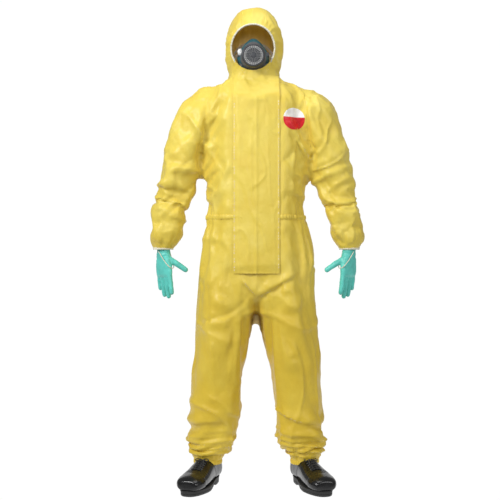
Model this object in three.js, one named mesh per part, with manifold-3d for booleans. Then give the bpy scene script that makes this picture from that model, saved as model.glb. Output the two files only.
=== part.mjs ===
// Hooded chemical protective coverall with half-mask respirator, gloves and safety boots,
// standing with its arms hanging. Millimetres, +Z up, the front faces -Y and the wearer's
// left is +X. The garment is hollow: every fabric piece is a thin shell open at its seams.
import * as THREE from 'three';
import { LoftGeometry } from 'three/addons/geometries/LoftGeometry.js';
import { mergeVertices } from 'three/addons/utils/BufferGeometryUtils.js';
import Module from 'manifold-3d';

const wasm = await Module();
wasm.setup();

// ---- driving dimensions ----
const WALL = 3; // fabric with its seam allowance, as one shell
const GAP = 0.4; // between pieces that are sewn together
const BODY_SIDES = 20;
const LIMB_SIDES = 14;
const BOOT_SIDES = 10;
const NECK_Z = 1502; // seam between body and hood
const HOOD_Z = 1520; // where the hood starts to turn as one piece
const HIP_Z = 800; // the body keeps its shape down to here
const THIGH_Z = 620; // and each leg from here down
const KNEE_Z = 460;
const KNEE_REACH = 80; // fabric that bends, above and below the knee
const ELBOW_Z = 1160;
const ELBOW_REACH = 75;
const CUFF_Z = 904;
const WRIST_END_Z = 888;
const ANKLE_SEAM_Z = 98.5;
const HEM_Z = 83;
const WAIST_Z = 1010;
const WAIST_BAND = 24;
const ZIP_BOTTOM_Z = 808;
const ZIP_TOP_Z = 1438;
const ZIP_FRONT_Y = -124.6; // face of the zip tape
const FLAP_HALF_WIDTH = 85;
const FLAP_FRONT_Y = -136;
const FLAP_THICKNESS = 3;
const HOOD_X = -8; // the hood leans a little to the wearer's right
const SEAM_HALF = 45; // half width of the hood's centre strip
const OPENING = { x: -13, z: 1637, across: 79, up: 84 };
const MASK_X = -11;
const MASK_Z = 1601;
const CAP_RADIUS = 43;
const CAP_BACK_Y = -112.5;
const CAP_DEPTH = 24;
const ANKLE = { x: 183, y: 12 };
const TOE_OUT = THREE.MathUtils.degToRad(18);
const WRIST = { x: 350, y: -4, z: 885 };
const HAND_TURN = THREE.MathUtils.degToRad(48);
const FAR = 600; // longer than any cut needs

// [z, half width, front, back]
const BODY_RINGS = [
  [640, 222, 106, 118], [671, 230, 112, 128], [760, 229, 119, 138], [848, 222, 121, 140],
  [907, 213, 121, 138], [966, 202, 118, 130], [1000, 184, 113, 117], [1035, 181, 113, 116],
  [1085, 189, 118, 125], [1144, 196, 121, 129], [1210, 203, 122, 131], [1300, 204, 122, 130],
  [1400, 190, 120, 126], [1462, 188, 110, 114], [1480, 182, 104, 106], [1493, 160, 98, 96],
  [1503, 118, 93, 86], [1512, 97, 90, 80], [1530, 92, 90, 80],
];

// [x, z, half width, half depth, tilt in degrees], from the wrist up to inside the shoulder
const ARM_RINGS = [
  [355, 870, 35, 32, 6], [353, 892, 36, 33, 6], [351, 910, 41, 38, 6], [345, 938, 54, 50, 9],
  [338, 966, 62, 58, 9], [328, 1026, 66, 62, 9], [318, 1085, 66, 64, 10], [305, 1144, 70, 67, 13],
  [290, 1203, 75, 70, 15], [262, 1300, 76, 74, 22], [215, 1388, 78, 80, 40], [140, 1440, 70, 78, 60],
];

// [x, z, half width, half depth, y of the centre]
const LEG_RINGS = [
  [183, 60, 52, 54, 14], [183, 100, 52, 54, 14], [182, 116, 58, 60, 14], [179, 142, 68, 70, 13],
  [169, 199, 84, 88, 10], [161, 287, 91, 95, 8], [151, 405, 98, 101, 6], [138, 524, 105, 108, 5],
  [119, 642, 113, 114, 6], [117, 720, 108, 112, 7],
];

// [z, half width, front, back] of the hood
const HOOD_RINGS = [
  [1500, 92, 90, 80], [1527, 91, 92, 86], [1557, 94, 96, 105], [1587, 98, 99, 120],
  [1616, 103, 101, 131], [1646, 107, 102, 139], [1675, 108, 102, 142], [1705, 103, 98, 138],
  [1734, 92, 88, 125], [1757, 74, 66, 100], [1768, 48, 40, 66],
];

// ---- materials ----
const material = (color, roughness, metalness = 0) =>
  new THREE.MeshStandardMaterial({ color, roughness, metalness });
const yellowFabric = material(0xe8cf46, 0.55);
const paleElastic = material(0xe9e4cf, 0.85);
const zipTape = material(0xd8bf3a, 0.8);
const zipPlastic = material(0xdccb5a, 0.4);
const labelPaper = material(0xc9504a, 0.5);
const tealRubber = material(0x2f8f93, 0.45);
const greyPlastic = material(0x8d9296, 0.4);
const whiteFelt = material(0xeceae2, 0.95);
const whitePlastic = material(0xe6e6e2, 0.25);
const greyWebbing = material(0x9c9c98, 0.85);
const gloveRubber = material(0x58b9b0, 0.5);
const bootLeather = material(0x141414, 0.2);
const soleRubber = material(0x0e0e0e, 0.6);
const laceCord = material(0x1a1a1a, 0.8);
const insoleFoam = material(0x3a3a3a, 0.9);

// ---- solids ----
function solidFrom(shape) {
  const geometry = new THREE.BufferGeometry().copy(shape);
  geometry.deleteAttribute('normal');
  geometry.deleteAttribute('uv');
  const merged = mergeVertices(geometry, 1e-3);
  return new wasm.Manifold(new wasm.Mesh({
    numProp: 3,
    vertProperties: merged.attributes.position.array,
    triVerts: new Uint32Array(merged.index.array),
  }));
}

function geometryFrom(solid) {
  const { vertProperties, triVerts } = solid.getMesh();
  const geometry = new THREE.BufferGeometry();
  geometry.setAttribute('position', new THREE.BufferAttribute(vertProperties, 3));
  geometry.setIndex(new THREE.BufferAttribute(triVerts, 1));
  geometry.computeVertexNormals();
  return geometry;
}

function part(name, solid, look) {
  const mesh = new THREE.Mesh(geometryFrom(solid), look);
  mesh.name = name;
  return mesh;
}

const box = (x0, x1, y0, y1, z0, z1) => solidFrom(
  new THREE.BoxGeometry(x1 - x0, y1 - y0, z1 - z0)
    .translate((x0 + x1) / 2, (y0 + y1) / 2, (z0 + z1) / 2));

// all of space above one height and below another
const slab = (low, high) => box(-FAR, FAR, -FAR, FAR, low + GAP / 2, high - GAP / 2);

// an outline in the XZ plane, given as [x, z], cut right through from front to back
function curtain(outline, side = 1) {
  const shape = new THREE.Shape(outline.map(([x, z]) => new THREE.Vector2(side * x, z)));
  const geometry = new THREE.ExtrudeGeometry(shape, { depth: 2 * FAR, bevelEnabled: false });
  return solidFrom(geometry.rotateX(Math.PI / 2).translate(0, FAR, 0));
}

const power = (value, squareness) => Math.sign(value) * Math.abs(value) ** (2 / squareness);

// one rounded section round the limb or body, wound anticlockwise seen from above
function section(sides, { x = 0, y = 0, z, across, front, back, tilt = 0, squareness = 2.3 }, side = 1) {
  const points = [];
  for (let i = 0; i < sides; i++) {
    const angle = 2 * Math.PI * i / sides;
    const u = power(Math.cos(angle), squareness) * across;
    const v = power(Math.sin(angle), squareness) * (Math.sin(angle) < 0 ? front : back);
    points.push(new THREE.Vector3(side * (x + u * Math.cos(tilt)), y + v, z + u * Math.sin(tilt)));
  }
  return side < 0 ? points.reverse() : points;
}

const loft = (sections) => solidFrom(new LoftGeometry(sections, { capStart: true, capEnd: true }));

const bodySolid = (inset, rings = BODY_RINGS, x = 0) => loft(rings.map(([z, across, front, back], i) =>
  section(BODY_SIDES, {
    x, across: across - inset, front: front - inset, back: back - inset,
    z: i === rings.length - 1 && rings === HOOD_RINGS ? z - inset : z,
  })));

const armSolid = (side, inset) => loft(ARM_RINGS.map(([x, z, across, deep, tilt]) =>
  section(LIMB_SIDES, {
    x, y: -2, z, across: across - inset, front: deep - inset, back: deep - inset,
    tilt: THREE.MathUtils.degToRad(tilt), squareness: 2.1,
  }, side)));

const legSolid = (side, inset) => loft(LEG_RINGS.map(([x, z, across, deep, y]) =>
  section(LIMB_SIDES, {
    x, y, z, across: across - inset, front: deep - inset, back: deep - inset, squareness: 2.2,
  }, side)));

const SIDES = [['left', 1], ['right', -1]];

// ---- body of the coverall ----
const bodyOuter = bodySolid(0);
const bodyInner = bodySolid(WALL).subtract(box(-FAR, FAR, -FAR, FAR, 500, 640 + WALL));
const bodyShell = bodyOuter.subtract(bodyInner);
const armholeOutline = [[165, 1600], [188, 1330], [120, 1290], [120, 800], [560, 800], [560, 1600]];
const shoulderOutline = [[165, 1600], [188, 1330], [560, 1330], [560, 1600]];

function bodyPanels() {
  let shell = bodyShell.intersect(slab(HIP_Z, NECK_Z));
  for (const [, side] of SIDES) {
    shell = shell.subtract(armSolid(side, -1.2));
    shell = shell.subtract(curtain(shoulderOutline, side));
  }
  const front = shell.intersect(box(-FAR, FAR, -FAR, 4, 0, 2000));
  return [
    part('front_panel_left', front.intersect(box(10, FAR, -FAR, FAR, 0, 2000)), yellowFabric),
    part('front_panel_right', front.intersect(box(-FAR, -10, -FAR, FAR, 0, 2000)), yellowFabric),
    part('back_panel', shell.intersect(box(-FAR, FAR, 4 + GAP, FAR, 0, 2000)), yellowFabric),
  ];
}

function waistElastic() {
  const band = bodySolid(WALL + 0.6).subtract(bodySolid(WALL + 2.2));
  return part('waist_elastic', band.intersect(slab(WAIST_Z - WAIST_BAND / 2, WAIST_Z + WAIST_BAND / 2)),
    paleElastic);
}

const neckFabric = () => part('neck_fabric', bodyShell.intersect(slab(NECK_Z, HOOD_Z)), yellowFabric);

// each half of the seat holds the top of its trouser leg
function seatHalf(name, side) {
  const outer = bodyOuter.add(legSolid(side, 0));
  const inner = bodyInner.add(legSolid(side, WALL));
  const half = side > 0 ? box(0.3, FAR, -FAR, FAR, 0, 2000) : box(-FAR, -0.3, -FAR, FAR, 0, 2000);
  return part(`seat_${name}`, outer.subtract(inner).intersect(slab(THIGH_Z, HIP_Z)).intersect(half),
    yellowFabric);
}

// ---- sleeves and trouser legs ----
function sleeve(name, side) {
  const tube = armSolid(side, 0).subtract(armSolid(side, WALL)).intersect(curtain(armholeOutline, side));
  const cut = [[120, 1251], [400, 1361]]; // across the upper arm, square to it
  const above = curtain([...cut, [560, 1361], [560, 1600], [120, 1600]], side);
  const below = curtain([[120, 1251 - GAP], [400, 1361 - GAP], [560, 1361 - GAP], [560, 700], [120, 700]],
    side);
  const top = ELBOW_Z + ELBOW_REACH;
  const low = ELBOW_Z - ELBOW_REACH;
  return [
    part(`shoulder_fabric_${name}`, tube.intersect(above), yellowFabric),
    part(`upper_sleeve_${name}`, tube.intersect(below).intersect(slab(top, 1600)), yellowFabric),
    part(`elbow_fabric_${name}`, tube.intersect(slab(low, top)), yellowFabric),
    part(`lower_sleeve_${name}`, tube.intersect(slab(CUFF_Z, low)), yellowFabric),
    part(`wrist_elastic_${name}`, tube.intersect(slab(WRIST_END_Z, CUFF_Z)), paleElastic),
  ];
}

function trouserLeg(name, side) {
  const boot = footSolid(-1).add(shaftSolid(-1, 160))
    .rotate([0, 0, side * THREE.MathUtils.radToDeg(TOE_OUT)])
    .translate([side * ANKLE.x, ANKLE.y, 0]);
  const tube = legSolid(side, 0).subtract(legSolid(side, WALL)).subtract(boot);
  const top = KNEE_Z + KNEE_REACH;
  const low = KNEE_Z - KNEE_REACH;
  return [
    part(`thigh_${name}`, tube.intersect(slab(top, THIGH_Z)), yellowFabric),
    part(`knee_fabric_${name}`, tube.intersect(slab(low, top)), yellowFabric),
    part(`shin_${name}`, tube.intersect(slab(ANKLE_SEAM_Z, low)), yellowFabric),
    part(`ankle_elastic_${name}`, tube.intersect(slab(HEM_Z, ANKLE_SEAM_Z)), paleElastic),
  ];
}

// ---- front closure ----
function zip() {
  const back = ZIP_FRONT_Y + 1;
  const teethFront = ZIP_FRONT_Y - 2;
  const sliderTop = ZIP_TOP_Z - 8;
  const sliderFront = teethFront - 2.8;
  const tapes = SIDES.map(([name, side]) => part(`zip_tape_${name}`,
    box(Math.min(side * 3.2, side * 16), Math.max(side * 3.2, side * 16), ZIP_FRONT_Y, back,
      ZIP_BOTTOM_Z, ZIP_TOP_Z), zipTape));
  const pull = box(-4, 4, sliderFront - 2, sliderFront - GAP, sliderTop - 42, sliderTop - 6)
    .subtract(box(-2, 2, -FAR, FAR, sliderTop - 36, sliderTop - 30));
  return [
    ...tapes,
    part('zip_chain', box(-2.8, 2.8, teethFront, back, ZIP_BOTTOM_Z, ZIP_TOP_Z), zipPlastic),
    part('zip_bottom_stop', box(-5, 5, teethFront - 0.6, back, ZIP_BOTTOM_Z - 7, ZIP_BOTTOM_Z - GAP),
      zipPlastic),
    part('zip_slider', box(-6, 6, sliderFront, teethFront - GAP, sliderTop - 13, sliderTop), zipPlastic),
    part('zip_pull', pull, zipPlastic),
  ];
}

const stormFlap = () => part('storm_flap', box(-FLAP_HALF_WIDTH, FLAP_HALF_WIDTH, FLAP_FRONT_Y,
  FLAP_FRONT_Y + FLAP_THICKNESS, HIP_Z + 2, ZIP_TOP_Z + 4), yellowFabric);

function chestLabel() {
  const disc = new THREE.CylinderGeometry(41, 41, 1, 28);
  disc.rotateZ(THREE.MathUtils.degToRad(11)).translate(139, -118.2, 1372);
  return part('chest_label', solidFrom(disc).subtract(bodyOuter), labelPaper);
}

// ---- hood ----
function hoodFrontY(x, z) {
  const above = HOOD_RINGS.findIndex((ring) => ring[0] >= z);
  const [z0, across0, front0] = HOOD_RINGS[above - 1];
  const [z1, across1, front1] = HOOD_RINGS[above];
  const mix = (z - z0) / (z1 - z0);
  const across = across0 + mix * (across1 - across0);
  const front = front0 + mix * (front1 - front0);
  return -front * (1 - Math.min(Math.abs(x - HOOD_X) / across, 0.999) ** 2.3) ** (1 / 2.3);
}

// the rim of the face opening, followed round the hood's surface
function rimCurve() {
  const points = [];
  for (let i = 0; i < 28; i++) {
    const angle = 2 * Math.PI * i / 28;
    const x = OPENING.x + OPENING.across * Math.cos(angle);
    const z = OPENING.z + OPENING.up * Math.sin(angle);
    points.push(new THREE.Vector3(x, hoodFrontY(x, z) + 1, z));
  }
  return new THREE.CatmullRomCurve3(points, true);
}

function tubeAlong(curve, radius, steps, sides) {
  const circle = new THREE.Shape(Array.from({ length: sides }, (_, i) => new THREE.Vector2(
    radius * Math.cos(2 * Math.PI * i / sides), radius * Math.sin(2 * Math.PI * i / sides))));
  return solidFrom(new THREE.ExtrudeGeometry(circle, { steps, extrudePath: curve, bevelEnabled: false }));
}

// a closed round cord round the face opening
function rimCord(radius) {
  const curve = rimCurve();
  const steps = 40;
  const sides = 6;
  const centre = new THREE.Vector3(OPENING.x, -80, OPENING.z);
  const sections = [];
  for (let i = 0; i < steps; i++) {
    const at = curve.getPointAt(i / steps);
    const along = curve.getTangentAt(i / steps);
    const out = at.clone().sub(centre).projectOnPlane(along).normalize();
    const up = new THREE.Vector3().crossVectors(along, out);
    sections.push(Array.from({ length: sides }, (_, k) => {
      const angle = 2 * Math.PI * k / sides;
      return at.clone().addScaledVector(out, radius * Math.cos(angle))
        .addScaledVector(up, radius * Math.sin(angle));
    }));
  }
  sections.push(sections[0].map((point) => point.clone()));
  return solidFrom(new LoftGeometry(sections));
}

function hood() {
  const opening = new THREE.CylinderGeometry(1, 1, 200, 32);
  opening.scale(OPENING.across + 1, 1, OPENING.up + 1).translate(OPENING.x, -110, OPENING.z);
  const shell = bodySolid(0, HOOD_RINGS, HOOD_X).subtract(bodySolid(WALL, HOOD_RINGS, HOOD_X))
    .intersect(slab(HOOD_Z, 2000)).subtract(solidFrom(opening)).subtract(rimCord(4.6));
  const left = HOOD_X + SEAM_HALF;
  const right = HOOD_X - SEAM_HALF;
  const chin = (x0, x1) => box(x0, x1, -FAR, -30, 0, OPENING.z);
  const leftSide = box(left + GAP / 2, FAR, -FAR, FAR, 0, 2000).add(chin(GAP / 2, left + 1));
  const rightSide = box(-FAR, right - GAP / 2, -FAR, FAR, 0, 2000).add(chin(right - 1, -GAP / 2));
  const strip = box(right + GAP / 2, left - GAP / 2, -FAR, FAR, 0, 2000)
    .subtract(box(right - 5, left + 5, -FAR, -30 + GAP, 0, OPENING.z));
  return [
    part('hood_centre_panel', shell.intersect(strip), yellowFabric),
    part('hood_left_panel', shell.intersect(leftSide), yellowFabric),
    part('hood_right_panel', shell.intersect(rightSide), yellowFabric),
    part('face_binding', rimCord(4), paleElastic),
  ];
}

// ---- respirator ----
// sections face the wearer's front, stacked from the face seal out to the filter
function maskSolid(inset, frontY, backY) {
  const rings = [[backY, 60, 76, 52], [-60, 56, 68, 50], [-76, 48, 56, 45], [frontY, 40, 40, 40]];
  return loft(rings.map(([y, across, up, down]) => {
    const points = [];
    for (let i = 0; i < 20; i++) {
      const angle = 2 * Math.PI * i / 20;
      const lift = Math.sin(angle) > 0 ? up - inset : down - inset;
      const narrow = 1 - 0.35 * Math.max(0, Math.sin(angle)) ** 1.5 * (up - 40) / 36;
      points.push(new THREE.Vector3(MASK_X + narrow * (across - inset) * Math.cos(angle), y,
        MASK_Z + lift * Math.sin(angle)));
    }
    return points;
  }));
}

// a round piece turned about the mask's axis; the profile is [radius, distance out]
function turned(profile, backY, segments = 24) {
  const lathe = new THREE.LatheGeometry(profile.map(([r, out]) => new THREE.Vector2(r, out)), segments);
  return solidFrom(lathe.rotateX(Math.PI).translate(MASK_X, backY, MASK_Z));
}

// a flat band round the back of the head, from one side of the mask to the other
function headStrap(name, frontZ, backZ, deep) {
  const height = 14;
  const sections = [];
  for (let i = 0; i <= 24; i++) {
    const turn = THREE.MathUtils.degToRad(-38 + 256 * i / 24);
    const z = frontZ + (backZ - frontZ) * Math.max(0, Math.sin(turn));
    const at = (radius, dz) => new THREE.Vector3(
      MASK_X + (76 + radius) * Math.cos(turn), 16 + (deep + radius) * Math.sin(turn), z + dz);
    sections.push([at(0, -height / 2), at(0, height / 2), at(1.4, height / 2), at(1.4, -height / 2)]);
  }
  return part(name, loft(sections), greyWebbing);
}

function respirator() {
  const cover = (extra) => solidFrom(new THREE.SphereGeometry(1, 14, 8)
    .scale(9 + extra, 6 + extra, 13 + extra).translate(MASK_X - 50, -74, MASK_Z + 22));
  const bore = new THREE.CylinderGeometry(27, 27, 60, 24).translate(MASK_X, -100, MASK_Z);
  const face = maskSolid(0, -92, -46).subtract(maskSolid(WALL, -92 + WALL, -40))
    .subtract(cover(GAP)).subtract(solidFrom(bore));
  const housing = [[28, 0], [40, 0], [41, 3], [41, 17], [38, 20], [28, 20], [28, 0]];
  const cap = [[0, CAP_DEPTH - 3], [36, CAP_DEPTH - 3], [CAP_RADIUS - 2.5, CAP_DEPTH - 7],
    [CAP_RADIUS - 2.5, 0], [CAP_RADIUS, 0], [CAP_RADIUS, CAP_DEPTH - 6], [37, CAP_DEPTH], [0, CAP_DEPTH]];
  return [
    part('respirator_facepiece', face, tealRubber),
    part('filter_housing', turned(housing, -92.4), greyPlastic),
    part('filter_cap', turned(cap, CAP_BACK_Y), greyPlastic),
    part('prefilter_disc', turned([[0, 4], [35, 4], [35, 12], [0, 12]], CAP_BACK_Y), whiteFelt),
    part('valve_cover', cover(0), whitePlastic),
    headStrap('upper_strap', 1612, 1690, 98),
    headStrap('lower_strap', 1578, 1566, 74),
  ];
}

// ---- gloves ----
function capsule(radius, from, to, sides) {
  const a = new THREE.Vector3(...from);
  const b = new THREE.Vector3(...to);
  const geometry = new THREE.CapsuleGeometry(radius, a.distanceTo(b), 2, sides);
  geometry.applyQuaternion(new THREE.Quaternion().setFromUnitVectors(
    new THREE.Vector3(0, 1, 0), b.clone().sub(a).normalize()));
  return solidFrom(geometry.translate(...a.add(b).multiplyScalar(0.5)));
}

// the hand hangs from the wrist at the origin; x runs from the little finger to the thumb,
// and the fingers curl to +y
const FINGERS = [
  [[-30, 0, -84], [-36, 4, -142], 9.5], [[-10, 0, -90], [-13, 8, -166], 10.5],
  [[11, 0, -90], [12, 8, -172], 10.8], [[31, 0, -84], [35, 4, -158], 10.5],
  [[20, 3, -32], [66, 50, -74], 11.5],
];
const PALM_RINGS = [[-98, 38, 9], [-88, 44, 14], [-60, 43, 17], [-30, 36, 19], [-4, 27, 20.5], [34, 24, 21.5]];

// palm is 1 where the palm faces +y and -1 where it faces -y
function gloveSolid(inset, palm) {
  const curled = ([x, y, z]) => [x, y * palm, z];
  let solid = loft(PALM_RINGS.map(([z, across, deep]) => section(12, {
    z: z > 0 ? z + Math.sign(inset) : z, squareness: 2.4,
    across: across - inset, front: deep - inset, back: deep - inset,
  })));
  for (const [root, tip, radius] of FINGERS) {
    solid = solid.add(capsule(radius - inset, curled(root), curled(tip), inset > 0 ? 5 : 7));
  }
  return solid;
}

function fingerLoop(name, palm) {
  const points = [[4, -26, -4], [17, -25, -18], [33, -21, -42], [46, -6, -62], [40, 16, -66],
    [18, 27, -44], [4, 27, -4]];
  const curve = new THREE.CatmullRomCurve3(points.map(([x, y, z]) => new THREE.Vector3(x, y * palm, z)));
  const solid = tubeAlong(curve, 1.8, 16, 5).subtract(gloveSolid(-0.6, palm));
  const largest = solid.decompose().sort((a, b) => b.volume() - a.volume())[0];
  return part(`finger_loop_${name}`, largest, paleElastic);
}

function handGroup(name, side) {
  const hand = new THREE.Group();
  hand.position.set(side * WRIST.x, WRIST.y, WRIST.z);
  hand.rotation.y = THREE.MathUtils.degToRad(side * 2);
  const turn = new THREE.Group();
  turn.rotation.z = side > 0 ? Math.PI + HAND_TURN : -HAND_TURN;
  turn.add(part(`glove_${name}`, gloveSolid(0, -side).subtract(gloveSolid(2, -side)), gloveRubber));
  turn.add(fingerLoop(name, -side));
  hand.add(turn);
  return hand;
}

// ---- boots ----
// the ankle is at the origin and the toe points to -Y; [y, half width, low, high]
const FOOT_RINGS = [
  [70, 22, 38, 78], [62, 34, 34, 92], [30, 38, 32, 110], [-10, 38, 31, 112], [-60, 42, 31, 100],
  [-110, 48, 31, 84], [-160, 51, 31, 72], [-195, 46, 32, 64], [-215, 34, 34, 54],
];

function footSolid(inset) {
  return loft(FOOT_RINGS.map(([y, across, low, high]) => {
    const points = [];
    for (let i = 0; i < BOOT_SIDES; i++) {
      const angle = 2 * Math.PI * i / BOOT_SIDES;
      const lift = power(Math.sin(angle), 2.4) * ((high - low) / 2 - inset);
      const shorter = Math.abs(y) > 65 ? Math.sign(y) * inset : 0;
      points.push(new THREE.Vector3(power(Math.cos(angle), 2.4) * (across - inset), y - shorter,
        (low + high) / 2 + lift));
    }
    return points;
  }));
}

const shaftSolid = (inset, top) => loft([[50, 38, 40], [90, 38, 42], [120, 37, 40], [top, 39, 42]].map(
  ([z, across, deep]) => section(BOOT_SIDES, {
    y: 6, z: z + (z < 60 ? inset : 0), across: across - inset, front: deep - inset, back: deep - inset,
  })));

// the sole's outline, grown outwards by the welt
function soleShape(welt) {
  const heel = 36 + welt;
  const ball = 51 + welt;
  const shape = new THREE.Shape();
  shape.moveTo(-heel, 30);
  shape.bezierCurveTo(-heel, -20, -ball, -80, -ball, -140);
  shape.bezierCurveTo(-ball, -195, -26, -219 - welt, 0, -219 - welt);
  shape.bezierCurveTo(26, -219 - welt, ball, -195, ball, -140);
  shape.bezierCurveTo(ball, -80, heel, -20, heel, 30);
  shape.bezierCurveTo(heel, 62 + welt, 18, 74 + welt, 0, 74 + welt);
  shape.bezierCurveTo(-18, 74 + welt, -heel, 62 + welt, -heel, 30);
  return shape;
}

function footTop(y) {
  const ahead = FOOT_RINGS.findIndex((ring) => ring[0] <= y);
  const [y0, , , high0] = FOOT_RINGS[ahead - 1];
  const [y1, , , high1] = FOOT_RINGS[ahead];
  return high0 + (high1 - high0) * (y - y0) / (y1 - y0);
}

function laceSolid() {
  const points = [];
  for (let row = 0; row < 5; row++) {
    const x = (row % 2 ? 1 : -1) * 17;
    const y = -70 - row * 13;
    points.push(new THREE.Vector3(x, y, footTop(y) + 1.6));
    points.push(new THREE.Vector3(-x, y - 4, footTop(y - 4) + 1.6));
  }
  return tubeAlong(new THREE.CatmullRomCurve3(points, false, 'catmullrom', 0.2), 1.8, 20, 5);
}

function bootGroup(name, side) {
  const sole = solidFrom(new THREE.ExtrudeGeometry(soleShape(3), {
    depth: 29, bevelEnabled: false, curveSegments: 6,
  })).subtract(box(-FAR, FAR, -22, 8, -1, 8));
  const insole = footSolid(3 + GAP).intersect(box(-FAR, FAR, -FAR, FAR, 40, 44));
  const outer = footSolid(0).add(shaftSolid(0, 158));
  const upper = outer.subtract(footSolid(3)).subtract(shaftSolid(3, 162));
  const boot = new THREE.Group();
  boot.position.set(side * ANKLE.x, ANKLE.y, 0);
  boot.rotation.z = side * TOE_OUT;
  boot.add(
    part(`boot_upper_${name}`, upper.intersect(box(-FAR, FAR, -FAR, FAR, 29.4, 200)), bootLeather),
    part(`outsole_${name}`, sole, soleRubber),
    part(`insole_${name}`, insole, insoleFoam),
    part(`laces_${name}`, laceSolid().subtract(footSolid(-GAP)), laceCord),
  );
  return boot;
}

// ---- assembly ----
const suit = new THREE.Group();
suit.add(...bodyPanels(), waistElastic(), neckFabric(), ...zip(), stormFlap(), chestLabel());
suit.add(...hood(), ...respirator());
for (const [name, side] of SIDES) {
  suit.add(seatHalf(name, side), ...sleeve(name, side), ...trouserLeg(name, side));
  suit.add(handGroup(name, side), bootGroup(name, side));
}
const bounds = new THREE.Box3().setFromObject(suit);
suit.position.y = -(bounds.min.y + bounds.max.y) / 2;

export default suit;
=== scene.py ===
"""Hooded chemical protective suit with half mask, gloves and boots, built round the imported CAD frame.

Metres, +Z up, the front faces -Y and the wearer's left is +X.
"""
import math

import bmesh
import bpy
import numpy as np
from mathutils import Matrix, Vector, noise
from mathutils.bvhtree import BVHTree


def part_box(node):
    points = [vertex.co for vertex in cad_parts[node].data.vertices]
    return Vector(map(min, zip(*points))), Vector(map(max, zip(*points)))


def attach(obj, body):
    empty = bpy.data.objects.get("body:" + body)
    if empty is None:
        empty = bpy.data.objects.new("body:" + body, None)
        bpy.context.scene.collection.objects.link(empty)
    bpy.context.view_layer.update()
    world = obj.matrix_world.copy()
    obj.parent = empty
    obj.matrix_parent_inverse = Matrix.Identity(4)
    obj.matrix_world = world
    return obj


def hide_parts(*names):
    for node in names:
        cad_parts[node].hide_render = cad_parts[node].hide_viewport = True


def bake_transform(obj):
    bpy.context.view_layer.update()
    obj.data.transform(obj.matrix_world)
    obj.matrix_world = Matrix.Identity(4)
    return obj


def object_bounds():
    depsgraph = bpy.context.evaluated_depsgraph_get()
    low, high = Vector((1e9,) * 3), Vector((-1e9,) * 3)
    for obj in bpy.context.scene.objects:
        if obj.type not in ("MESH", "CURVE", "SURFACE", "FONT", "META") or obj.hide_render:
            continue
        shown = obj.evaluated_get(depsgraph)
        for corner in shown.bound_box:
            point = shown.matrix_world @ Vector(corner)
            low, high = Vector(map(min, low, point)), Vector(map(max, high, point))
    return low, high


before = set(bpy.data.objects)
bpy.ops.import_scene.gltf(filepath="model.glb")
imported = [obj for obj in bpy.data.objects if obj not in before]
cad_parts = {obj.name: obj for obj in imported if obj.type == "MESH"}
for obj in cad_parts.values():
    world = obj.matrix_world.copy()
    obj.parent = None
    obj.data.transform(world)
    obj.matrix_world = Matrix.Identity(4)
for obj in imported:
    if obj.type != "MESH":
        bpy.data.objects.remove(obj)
CAD_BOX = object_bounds()

# ---- places that come from the frame ----
FLAP_LOW, FLAP_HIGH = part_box("storm_flap")
DEPTH_SHIFT = FLAP_LOW.y + 0.136  # the CAD's own depth origin, in the row frame
CAP_LOW, CAP_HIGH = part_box("filter_cap")
MASK = Vector(((CAP_LOW.x + CAP_HIGH.x) / 2, CAP_HIGH.y, (CAP_LOW.z + CAP_HIGH.z) / 2))
CUFF_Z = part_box("wrist_elastic_left")[1].z
WRIST_END_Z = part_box("wrist_elastic_left")[0].z
HEM_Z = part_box("ankle_elastic_left")[0].z
WAIST_Z = sum(p.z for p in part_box("waist_elastic")) / 2
NECK_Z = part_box("neck_fabric")[0].z
KNEE_Z = 0.46
ELBOW_Z = 1.16
THIGH_SPLIT_Z = 0.53
ARM_SPLIT_Z = 1.238
SEAT_Z = 0.80
VOXEL = 0.0108
OPENING = Vector((-0.013, 0, 1.637))
OPENING_ACROSS = 0.079
OPENING_UP = 0.084
HOOD_X = -0.008
SEAM_HALF = 0.045
SIDES = (("left", 1), ("right", -1))

# [z, half width, front, back]
BODY_RINGS = (
    (0.668, 0.224, 0.104, 0.116), (0.690, 0.230, 0.112, 0.126), (0.760, 0.229, 0.119, 0.138),
    (0.848, 0.222, 0.121, 0.140), (0.907, 0.213, 0.121, 0.138), (0.966, 0.202, 0.118, 0.130),
    (1.000, 0.184, 0.113, 0.117), (1.035, 0.181, 0.113, 0.116), (1.085, 0.189, 0.118, 0.125),
    (1.144, 0.196, 0.121, 0.129), (1.210, 0.203, 0.122, 0.131), (1.300, 0.204, 0.122, 0.130),
    (1.400, 0.202, 0.120, 0.126), (1.455, 0.212, 0.110, 0.116), (1.480, 0.206, 0.104, 0.108),
    (1.495, 0.182, 0.098, 0.098), (1.507, 0.138, 0.093, 0.086), (1.517, 0.096, 0.089, 0.080),
    (1.530, 0.092, 0.090, 0.080),
)
# [x, z, half width, half depth, tilt in degrees] from below the wrist to inside the shoulder
ARM_RINGS = (
    (0.355, 0.870, 0.035, 0.032, 6), (0.353, 0.892, 0.036, 0.033, 6), (0.351, 0.910, 0.049, 0.046, 6),
    (0.346, 0.938, 0.060, 0.056, 9), (0.338, 0.966, 0.062, 0.058, 9), (0.328, 1.026, 0.066, 0.062, 9),
    (0.318, 1.085, 0.066, 0.064, 10), (0.305, 1.144, 0.070, 0.067, 13), (0.290, 1.203, 0.075, 0.070, 15),
    (0.262, 1.300, 0.079, 0.078, 22), (0.221, 1.398, 0.087, 0.086, 42), (0.150, 1.440, 0.080, 0.086, 62),
)
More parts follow.
